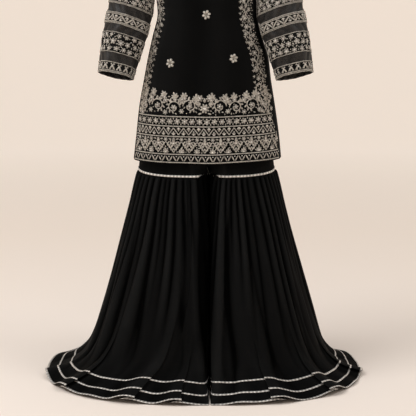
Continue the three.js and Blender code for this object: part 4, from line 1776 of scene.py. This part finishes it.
@dataclass
class LowerLeg:
    """A gathered lower leg, from the seam under the upper leg to the trail on the floor."""

    finishes: Finishes
    side: Side
    folds: Tuple[Fold, ...]
    seed: int
    inner: float = 0.004
    low_corner: float = 0.030
    hem_corner: float = 0.004
    hem_inner: float = 0.0007
    apart: float = 0.0025
    plain_columns: int = 360
    crease_columns: int = 14
    gathers: int = 40
    gather_height: float = 0.0115
    waves: int = 15
    wave_height: float = 0.0160
    gota_width: float = 0.007
    inner_gota: float = 8.0
    middle_gota: float = 9.0
    hem_ring: float = 11.0
    lowest: float = 0.0016
    crease_rise: float = 0.0125
    crease_ramp: float = 0.085
    puff_out: float = 0.0035
    puff_up: float = 0.0095
    sides: Row = (.231, .238, .259, .287, .322, .359, .388, .418, .463, .505, .538, .544)
    side_heights: Row = (.6735, .655, .577, .463, .330, .205, .121, .066, .027, .011, .003, .0015)
    fronts: Row = (.128, .139, .177, .227, .281, .328, .354, .378, .408, .448, .480, .486)
    front_heights: Row = (.6735, .655, .577, .463, .330, .205, .130, .084, .050, .022, .005, .002)
    backs: Row = (.120, .131, .165, .211, .260, .305, .334, .358, .388, .424, .450, .456)
    back_heights: Row = (.6735, .655, .577, .463, .330, .205, .126, .076, .038, .015, .004, .0015)
    front_rounds: Row = (2.3, 2.3, 2.3, 2.3, 2.35, 2.4, 2.45, 2.5, 2.55, 2.6, 2.6, 2.6)
    back_rounds: Row = (2.3, 2.3, 2.3, 2.3, 2.3, 2.25, 2.1, 2.0, 1.9, 1.8, 1.75, 1.75)
    rows_by_ring: Tuple[int, ...] = (6, 8, 8, 9, 9, 8, 7, 6, 6, 5, 2)

    def __post_init__(self) -> None:
        """Draws the uneven gathers once."""
        random = np.random.default_rng(self.seed)
        self.gather_edges, self.gather_heights, self.gather_ends = self.pleats(random, self.gathers, 3.5, 10.0)
        self.wave_edges, self.wave_heights, self.wave_ends = self.pleats(random, self.waves, 9.0, 13.0)
        self.wander = random.uniform(0.0, 6.0, 4)
        self.order = np.arange(len(self.sides), dtype=float)
        self.spread = 0.006 if self.side is Side.LEFT else -0.016

    @staticmethod
    def pleats(random: np.random.Generator, count: int, first: float, last: float) -> Tuple[Array, Array, Array]:
        """Draws uneven pleats round the leg.

        Args:
            random: Draws the numbers.
            count: How many there are.
            first: The ring where the shortest one ends.
            last: The ring where the longest one ends.

        Returns:
            Their edges as shares round the leg, their heights and the rings where they end.
        """
        edges = (np.arange(count + 1) + np.append(random.uniform(-0.27, 0.27, count), 0.0)) / count
        edges[-1] = edges[0] + 1.0
        return edges, random.uniform(0.55, 1.15, count), random.uniform(first, last, count)

    @staticmethod
    def pleated(place: Array, ring: float, edges: Array, heights: Array, ends: Array, power: float) -> Array:
        """Finds the height of rounded pleats with narrow valleys between them.

        Args:
            place: Shares round the leg.
            ring: The place down the leg.
            edges: The pleats' edges.
            heights: The pleats' heights.
            ends: The rings where they end.
            power: Below 1 for rounder crests and narrower valleys.

        Returns:
            The heights.
        """
        shifted = edges[0] + np.mod(place - edges[0], 1.0)
        own = np.clip(np.searchsorted(edges, shifted, side="right") - 1, 0, len(heights) - 1)
        within = np.clip((shifted - edges[own]) / (edges[own + 1] - edges[own]), 0.0, 1.0)
        fade = 1.0 - smooth(np.full_like(place, ring), 0.35 * ends[own], ends[own])
        return heights[own] * fade * np.sin(math.pi * within) ** power

    def base(self, ring: float, place: Array) -> Array:
        """Finds points of the smooth leg, before its folds, on the right leg's side.

        Args:
            ring: The place down the leg, counted in rings of the tables.
            place: Shares round the leg, from its outer side over the back.

        Returns:
            The points.
        """

        def read(values: Sequence[float]) -> float:
            """Reads one table at the ring."""
            return float(curve(self.order, values, ring))

        place = np.mod(place, 1.0)
        behind = place <= 0.5
        share = np.where(behind, 2 * place, 2 * (1 - place))
        reach = read(self.sides) + self.spread * float(smooth(ring / self.hem_ring, 0.5, 1.0))
        corner = JOINT_CORNER + (self.low_corner - JOINT_CORNER) * float(smooth(ring / self.hem_ring, 0.1, 0.75))
        corner += (self.hem_corner - self.low_corner) * float(smooth(ring, 8.5, 10.5))
        inner = self.inner + (self.hem_inner - self.inner) * float(smooth(ring, 8.5, 10.5))
        back, front = read(self.backs), read(self.fronts)
        at_back = walk(half_outline(reach, back, read(self.back_rounds), inner, corner), share)
        at_front = walk(half_outline(reach, front, read(self.front_rounds), inner, corner), share)
        x = np.where(behind, at_back[:, 0], at_front[:, 0])
        y = np.where(behind, at_back[:, 1], -at_front[:, 1])
        depth = np.where(behind, back, front)
        far = np.where(behind, read(self.back_heights), read(self.front_heights))
        turned = np.minimum(1.0, np.abs(y) / depth) ** 2
        height = read(self.side_heights) * (1 - turned) + far * turned
        return np.stack([x, y, height + joint_rise(share, height)], axis=-1)

    def facing(self, ring: float, place: Array) -> Array:
        """Which way the smooth leg faces at its points.

        Args:
            ring: The place down the leg.
            place: Shares round the leg.

        Returns:
            The unit normals.
        """
        step = 0.004
        across = self.base(ring, place + step) - self.base(ring, place - step)
        down = self.base(min(ring + 0.12, self.hem_ring), place) - self.base(max(ring - 0.12, 0.0), place)
        return unit(np.cross(across, -down))

    def crest(self, fold: Fold, ring: float) -> float:
        """Where a fold's crest is at a ring."""
        return fold.upper + (fold.place - fold.upper) * float(smooth(ring, 2.0, 10.5))

    def fullness(self, ring: float, place: Array) -> Array:
        """How far the cloth stands out: gathers under the seam and soft ridges to the hem.

        Args:
            ring: The place down the leg.
            place: Shares round the leg.

        Returns:
            Distances out of the smooth leg.
        """
        sway = 0.0035 * np.sin(1.1 * ring + self.wander[0] + 6.3 * place) * float(smooth(ring, 0.5, 3.0))
        rise = 0.25 + 0.75 * float(smooth(ring, 0.0, 0.9))
        fine = self.pleated(place + sway, ring, self.gather_edges, self.gather_heights, self.gather_ends, 0.62)
        total = self.gather_height * rise * (fine - 0.52 * (1.0 - float(smooth(ring, 3.0, 9.0))))
        grown = float(smooth(ring, 0.8, 5.0)) * (1.0 - 0.65 * float(smooth(ring, 7.5, 10.5)))
        broad = self.pleated(place - 1.6 * sway, ring, self.wave_edges, self.wave_heights, self.wave_ends, 0.85)
        total = total + self.wave_height * grown * (broad - 0.45)
        total *= 1.0 - 0.7 * np.exp(-(((place - 0.5) / 0.07) ** 2))
        share = ring / self.hem_ring
        for fold in self.folds:
            grown = float(smooth(share, fold.start, fold.start + 0.5))
            away = np.abs(np.mod(place - self.crest(fold, ring) + 0.5, 1.0) - 0.5)
            total += fold.height * grown * np.exp(-(away / fold.width) ** 2)
        return total

    def creases(self) -> List[Fold]:
        """The folds whose cloth is laid back on itself, in order round the leg."""
        return [fold for fold in self.folds if fold.facing]

    def row(self, ring: float) -> Array:
        """Finds one row of the folded cloth, on the right leg's side.

        Args:
            ring: The place down the leg.

        Returns:
            The row's points.
        """
        creases = self.creases()
        rim = self.base(ring, np.linspace(0.0, 1.0, 200))
        length = float(np.linalg.norm(np.diff(rim, axis=0), axis=1).sum())
        share = ring / self.hem_ring
        crests = [self.crest(fold, ring) for fold in creases]
        zone = 0.034 - 0.027 * float(smooth(ring, 3.0, 8.5))
        grown = [float(smooth(share, fold.start + 0.10, 0.97)) for fold in creases]
        gaps = np.diff(crests + [crests[0] + 1.0])
        columns = np.maximum(6, np.round(np.diff([f.place for f in creases] + [creases[0].place + 1.0])
                                         * self.plain_columns).astype(int))
        places: List[Array] = []
        lifts: List[Array] = []
        tau = (np.arange(self.crease_columns) + 0.5) / self.crease_columns
        for k, fold in enumerate(creases):
            swing = fold.overlap * grown[k] / length
            places.append(crests[k] + (tau - 0.5) * zone + swing * np.sin(2 * math.pi * tau))
            step = 1.0 - smooth(tau, 0.22, 0.78) if fold.facing > 0 else smooth(tau, 0.22, 0.78)
            lifts.append(self.crease_height(fold, grown[k]) * step)
            after = (np.arange(columns[k]) + 0.5) / columns[k]
            places.append(crests[k] + zone / 2 + after * (gaps[k] - zone))
            nxt = (k + 1) % len(creases)
            ramp = np.zeros(columns[k])
            if fold.facing < 0:
                run = after * gaps[k] * length
                ramp += self.crease_height(fold, grown[k]) * (1 - smooth(run, 0.0, self.crease_ramp))
            if creases[nxt].facing > 0:
                back_run = (1 - after) * gaps[k] * length
                ramp += self.crease_height(creases[nxt], grown[nxt]) * (1 - smooth(back_run, 0.0, self.crease_ramp))
            lifts.append(ramp)
        place, lift = np.concatenate(places), np.concatenate(lifts)
        stand = self.fullness(ring, np.mod(place, 1.0)) + lift
        points = self.base(ring, place) + self.facing(ring, place) * stand[:, None]
        apart = self.apart + (self.hem_inner - self.apart) * float(smooth(ring, 8.5, 10.5))
        puff = (1.0 - smooth(points[:, 0], 0.022, 0.040)) * (1.0 - float(smooth(ring, 0.15, 0.7)))
        points[:, 1] += np.sign(points[:, 1]) * self.puff_out * puff
        points[:, 2] += self.puff_up * puff
        depth = np.where(points[:, 1] > 0, curve(self.order, self.backs, ring), curve(self.order, self.fronts, ring))
        points[:, 0] = leant(np.maximum(points[:, 0], apart), points[:, 1] / depth, self.side)
        points[:, 2] = np.maximum(points[:, 2], self.lowest)
        return points

    def crease_height(self, fold: Fold, grown: float) -> float:
        """How far a crease's upper layer stands over the lower one."""
        return self.crease_rise * grown if fold.overlap > 0 else 0.0

    def rings(self) -> List[float]:
        """The rings at which the cloth has rows, from the hem up.

        Returns:
            The places down the leg.
        """
        places: List[float] = []
        for ring, count in enumerate(self.rows_by_ring):
            places += [ring + k / count for k in range(count)]
        return (places + [self.hem_ring])[::-1]

    def oriented(self, rows: List[Array]) -> Array:
        """Stacks rows that go up into a grid that faces out."""
        grid = np.stack(rows)
        return mirrored(grid) if self.side is Side.LEFT else grid

    def ribbon_rings(self, ring: float) -> List[float]:
        """The rings under a ribbon whose foot is at a ring.

        Args:
            ring: The place down the leg.

        Returns:
            The rings of its foot, middle and top.
        """
        here = self.base(ring, np.array([0.9]))
        above = self.base(ring - 1.0, np.array([0.9]))
        share = self.gota_width / float(np.linalg.norm(here - above))
        return [ring, ring - share / 2, ring - share]

    def ribbon(self, name: str, rings: List[float]) -> Thing:
        """Sews one gota line round the leg.

        Args:
            name: The CAD node that it stands for.
            rings: Where its rows are.

        Returns:
            The ribbon's object.
        """
        spread = [rings[0] + 0.03, *rings, rings[-1] - 0.03]
        grid = self.oriented([self.row(min(ring, self.hem_ring)) for ring in spread])
        out = grid_normals(grid, True)
        rise = np.array([0.0009, 0.0014, 0.0009])[:, None, None]
        ribbon_grid = grid[1:-1] + out[1:-1] * rise
        return sew_ribbon(name, ribbon_grid, self.finishes.gota)

    def build(self) -> None:
        """Makes the leg's cloth and its three gota lines."""
        side = self.side.value
        grid = self.oriented([self.row(ring) for ring in self.rings()])
        # Painted shade in the recess between the legs: cloth near their inner sides is darkened, less so close to the
        # floor.
        painted_shade = 1.6 * (1.0 - smooth(np.abs(grid[..., 0]), 0.010, 0.042)) * smooth(grid[..., 2], 0.02, 0.30)
        cloth = sheet_object(f"flare_{side}_cloth", grid, True, self.finishes.crepe, painted_shade=painted_shade)
        stand_for(cloth, "georgette", f"flare_{side}_front", f"flare_{side}_back")
        ribbons = [
            self.ribbon(f"gota_inner_{side}", self.ribbon_rings(self.inner_gota)),
            self.ribbon(f"gota_middle_{side}", self.ribbon_rings(self.middle_gota)),
            self.ribbon(f"gota_hem_{side}", [self.hem_ring, self.hem_ring - 0.5, self.hem_ring - 1.0]),
        ]
        declare_sheet(cloth, grid, True, 3.4, 0.86)


@dataclass
class UpperLeg:
    """A fitted upper leg: a front and a back piece, with gota over the seam at its foot."""

    finishes: Finishes
    side: Side
    columns: int = 44
    rows: int = 60
    inner: float = 0.004
    round_to: float = 0.713
    crotch_low: float = 0.795
    crotch_high: float = 0.850
    seam_gap: float = 0.0003
    roundness: float = 2.3
    gota_foot: float = 0.6755
    gota_top: float = 0.6825
    heights: Row = (.6739, .683, .715, .760, .795, .822, .850, .910, .980, 1.0497)
    reaches: Row = (.231, .230, .226, .220, .214, .208, .201, .187, .167, .140)
    fronts: Row = (.128, .126, .118, .110, .107, .105, .103, .098, .092, .086)
    backs: Row = (.120, .118, .111, .105, .103, .103, .107, .112, .1118, .092)

    def row(self, height: float, face: Face, columns: int) -> Array:
        """Finds one row of a piece, on the right leg's side, from the outer seam inwards.

        Args:
            height: The row's height above the floor.
            face: Front or back.
            columns: How many columns it has.

        Returns:
            The row's points.
        """
        rise = float(smooth(height, self.crotch_low, self.crotch_high))
        depth = float(curve(self.heights, self.fronts if face is Face.FRONT else self.backs, height))
        inner = self.inner + (self.seam_gap / 2 - self.inner) * rise
        end = self.seam_gap / 2 + (depth - self.seam_gap / 2) * rise
        reach = float(curve(self.heights, self.reaches, height))
        corner = JOINT_CORNER * (1 - float(smooth(height, self.round_to, self.crotch_high)))
        path = half_outline(reach, depth, self.roundness, inner, corner, end)
        around = np.linspace(0.0, 1.0, columns + 1)
        flat = walk(path, around)
        lean = 1 - float(smooth(height, 0.715, self.crotch_low))
        x = leant(flat[:, 0], lean * face.sign * flat[:, 1] / depth, self.side)
        soft = 0.0008 * np.sin(14 * around + 9 * height) * np.sin(math.pi * around)
        return np.stack([x, face.sign * (flat[:, 1] + soft), height + joint_rise(around, height)], axis=1)

    def grid(self, face: Face, heights: Sequence[float]) -> Array:
        """The points of a piece, facing out.

        Args:
            face: Front or back.
            heights: The heights of its rows.

        Returns:
            Rows that go up.
        """
        rows = np.stack([self.row(height, face, self.columns) for height in heights])
        rows = rows if face is Face.BACK else rows[:, ::-1]
        if self.side is Side.LEFT:
            rows = (rows * np.array([-1.0, 1.0, 1.0]))[:, ::-1]
        return rows

    def build(self) -> None:
        """Makes both pieces and the gota line."""
        heights = list(np.linspace(self.heights[0], self.heights[-1], self.rows))
        side = self.side.value
        for face in Face:
            grid = self.grid(face, heights)
            name = f"upper_leg_{side}_{face.value}"
            piece = sheet_object(f"{name}_cloth", grid, False, self.finishes.crepe)
            stand_for(piece, "georgette", name)
            declare_sheet(piece, grid, False, 0.34, 0.42)
        self.gota()

    def gota(self) -> None:
        """Sews the gota line round the foot of the leg."""
        heights = [self.gota_foot, (self.gota_foot + self.gota_top) / 2, self.gota_top]
        order = (Face.BACK, Face.FRONT) if self.side is Side.RIGHT else (Face.FRONT, Face.BACK)
        halves = [self.grid(face, heights)[:, :-1] for face in order]
        grid = np.concatenate(halves, axis=1)
        out = grid_normals(grid, True)
        grid = grid + out * np.array([0.0018, 0.0024, 0.0018])[:, None, None]
        sew_ribbon(f"gota_joint_{self.side.value}", grid, self.finishes.gota)


@dataclass
class Waistband:
    """The drawn-in waistband, gathered on its cord."""

    finishes: Finishes
    reach: float = 0.138
    front: float = 0.085
    back: float = 0.091
    foot: float = 1.050
    top: float = 1.090
    columns: int = 220
    rows: int = 12
    gathers: int = 44
    gather: float = 0.0012

    def build(self) -> None:
        """Makes the waistband."""
        angle = np.linspace(0.0, 2 * math.pi, self.columns, endpoint=False)
        rows = []
        for share in np.linspace(0.0, 1.0, self.rows):
            soft = self.gather * math.sin(math.pi * share) * np.sin(self.gathers * angle)
            swell = 0.0008 * math.sin(math.pi * share)
            depth = np.where(np.sin(angle) < 0, self.front, self.back)
            rows.append(np.stack([
                (self.reach + soft + swell) * np.cos(angle), (depth + soft + swell) * np.sin(angle),
                np.full_like(angle, self.foot + (self.top - self.foot) * share)], axis=1))
        grid = np.stack(rows)
        made = sheet_object("waistband_cloth", grid, True, self.finishes.crepe, thickness=0.0012)
        stand_for(made, "georgette", "waistband")
        declare_sheet(made, grid, True, 1.0, 0.085)


LEFT_FOLDS = (
    Fold(0.040, 0.040, 0.026, 0.010, 0.35),
    Fold(0.130, 0.120, 0.028, 0.014, 0.25, 0.022, 1),
    Fold(0.220, 0.220, 0.030, 0.017, 0.30),
    Fold(0.300, 0.290, 0.022, 0.014, 0.45, 0.020, 1),
    Fold(0.420, 0.420, 0.030, 0.008, 0.40),
    Fold(0.600, 0.600, 0.030, 0.008, 0.30),
    Fold(0.717, 0.700, 0.018, 0.013, 0.30, 0.020, -1),
    Fold(0.776, 0.722, 0.022, 0.018, 0.15, 0.030, -1),
    Fold(0.825, 0.800, 0.020, 0.012, 0.40),
    Fold(0.872, 0.845, 0.024, 0.016, 0.20, 0.022, -1),
    Fold(0.945, 0.930, 0.022, 0.011, 0.35, 0.024, 1),
)
RIGHT_FOLDS = (
    Fold(0.055, 0.055, 0.028, 0.010, 0.40),
    Fold(0.150, 0.150, 0.030, 0.013, 0.30, 0.020, 1),
    Fold(0.235, 0.225, 0.024, 0.018, 0.20),
    Fold(0.310, 0.300, 0.020, 0.013, 0.40, 0.022, 1),
    Fold(0.440, 0.440, 0.028, 0.008, 0.40),
    Fold(0.570, 0.570, 0.028, 0.008, 0.30),
    Fold(0.725, 0.735, 0.020, 0.012, 0.35),
    Fold(0.770, 0.760, 0.024, 0.016, 0.25, 0.028, -1),
    Fold(0.850, 0.835, 0.024, 0.018, 0.20, 0.026, -1),
    Fold(0.905, 0.905, 0.018, 0.010, 0.45),
    Fold(0.950, 0.935, 0.022, 0.010, 0.30, 0.022, -1),
)


@dataclass(frozen=True)
class Lamp:
    """A soft square light: its place over the floor, its side in metres and its power in watts."""

    name: str
    at: Triple
    size: float
    power: float


@dataclass
class Studio:
    """The pale floor, the soft lights and the camera at the photograph's angle."""

    finishes: Finishes
    lamps: Tuple[Lamp, ...] = (Lamp("key", (-2.5, -1.3, 3.8), 2.3, 104.0), Lamp("fill", (2.8, -1.1, 3.4), 1.5, 36.0),
                               Lamp("rim", (0.4, 0.3, 3.6), 1.6, 14.0))
    room_tint: Tuple[float, float, float, float] = (1.0, 0.97, 0.94, 1.0)
    room_light: float = 0.40
    distance: float = 5.25
    eye_height: float = 1.477
    aside: float = 0.005
    pitch: float = 10.0
    lens: float = 135.0
    floor_reach: float = 6.0
    bend: float = 3.5
    wall_height: float = 5.0
    sides: int = 72

    def build(self) -> None:
        """Makes the backdrop, the lights and the camera."""
        self.backdrop()
        for lamp in self.lamps:
            self.light(lamp)
        self.surround()
        self.camera()

    def backdrop(self) -> None:
        """Makes the floor and the wall as one sheet of paper that bends up all round."""
        turn = np.linspace(0.0, math.pi / 2, 16)
        reach = np.concatenate([[0.001, 1.5, 3.0, 4.5], self.floor_reach + self.bend * np.sin(turn)])
        height = np.concatenate([np.zeros(4), self.bend * (1 - np.cos(turn))])
        reach, height = np.append(reach, reach[-1]), np.append(height, self.wall_height)
        angle = np.linspace(0.0, 2 * math.pi, self.sides, endpoint=False)
        grid = np.stack([np.outer(reach, np.cos(angle)), np.outer(reach, np.sin(angle)),
                         np.repeat(height[:, None], len(angle), axis=1)], axis=-1)
        faces = grid_faces(len(reach), self.sides, True)[2][:, ::-1]
        mesh = bpy.data.meshes.new("studio_floor")
        points = grid.reshape(-1, 3) - np.array([0.0, 0.0, WAIST_HEIGHT])
        mesh.from_pydata(points.tolist(), [], faces.tolist())
        mesh.materials.append(self.finishes.paper)
        for face in mesh.polygons:
            face.use_smooth = True
        floor = bpy.data.objects.new("studio_floor", mesh)
        bpy.context.scene.collection.objects.link(floor)

    def light(self, lamp: Lamp) -> None:
        """Adds a lamp that looks at the suit.

        Args:
            lamp: The lamp.
        """
        data = bpy.data.lights.new(lamp.name, "AREA")
        data.shape = "SQUARE"
        data.size = lamp.size
        data.energy = lamp.power
        made = bpy.data.objects.new(lamp.name, data)
        place = Vector(lamp.at) - Vector((0.0, 0.0, WAIST_HEIGHT))
        made.location = place
        made.rotation_euler = (Vector((0.0, 0.0, -0.3)) - place).to_track_quat("-Z", "Y").to_euler()
        bpy.context.scene.collection.objects.link(made)

    def surround(self) -> None:
        """Sets the even light of the room."""
        world = bpy.data.worlds.new("room")
        world.use_nodes = True
        even = world.node_tree.nodes["Background"]
        even.inputs[0].default_value = self.room_tint
        even.inputs[1].default_value = self.room_light
        world.cycles_visibility.glossy = False
        bpy.context.scene.world = world
        bpy.context.scene.view_settings.view_transform = "Standard"

    def camera(self) -> None:
        """Adds the camera."""
        eye = bpy.data.cameras.new("eye")
        eye.lens = self.lens
        eye.clip_end = 60.0
        made = bpy.data.objects.new("eye", eye)
        made.location = (self.aside, -self.distance, self.eye_height - WAIST_HEIGHT)
        made.rotation_euler = (math.radians(90.0 - self.pitch), 0.0, 0.0)
        bpy.context.scene.collection.objects.link(made)
        bpy.context.scene.camera = made


def main() -> None:
    """Builds the suit piece by piece."""
    logging.basicConfig(level=logging.INFO, format="%(name)s %(message)s")
    finishes = Finishes()
    library = MotifLibrary()
    Studio(finishes).build()
    Kameez(finishes, library).build()
    for side, folds, seed in ((Side.LEFT, LEFT_FOLDS, 31), (Side.RIGHT, RIGHT_FOLDS, 47)):
        Sleeve(finishes, library, side).build()
        UpperLeg(finishes, side).build()
        LowerLeg(finishes, side, folds, seed).build()
    Waistband(finishes).build()


if __name__ == "__main__":
    main()
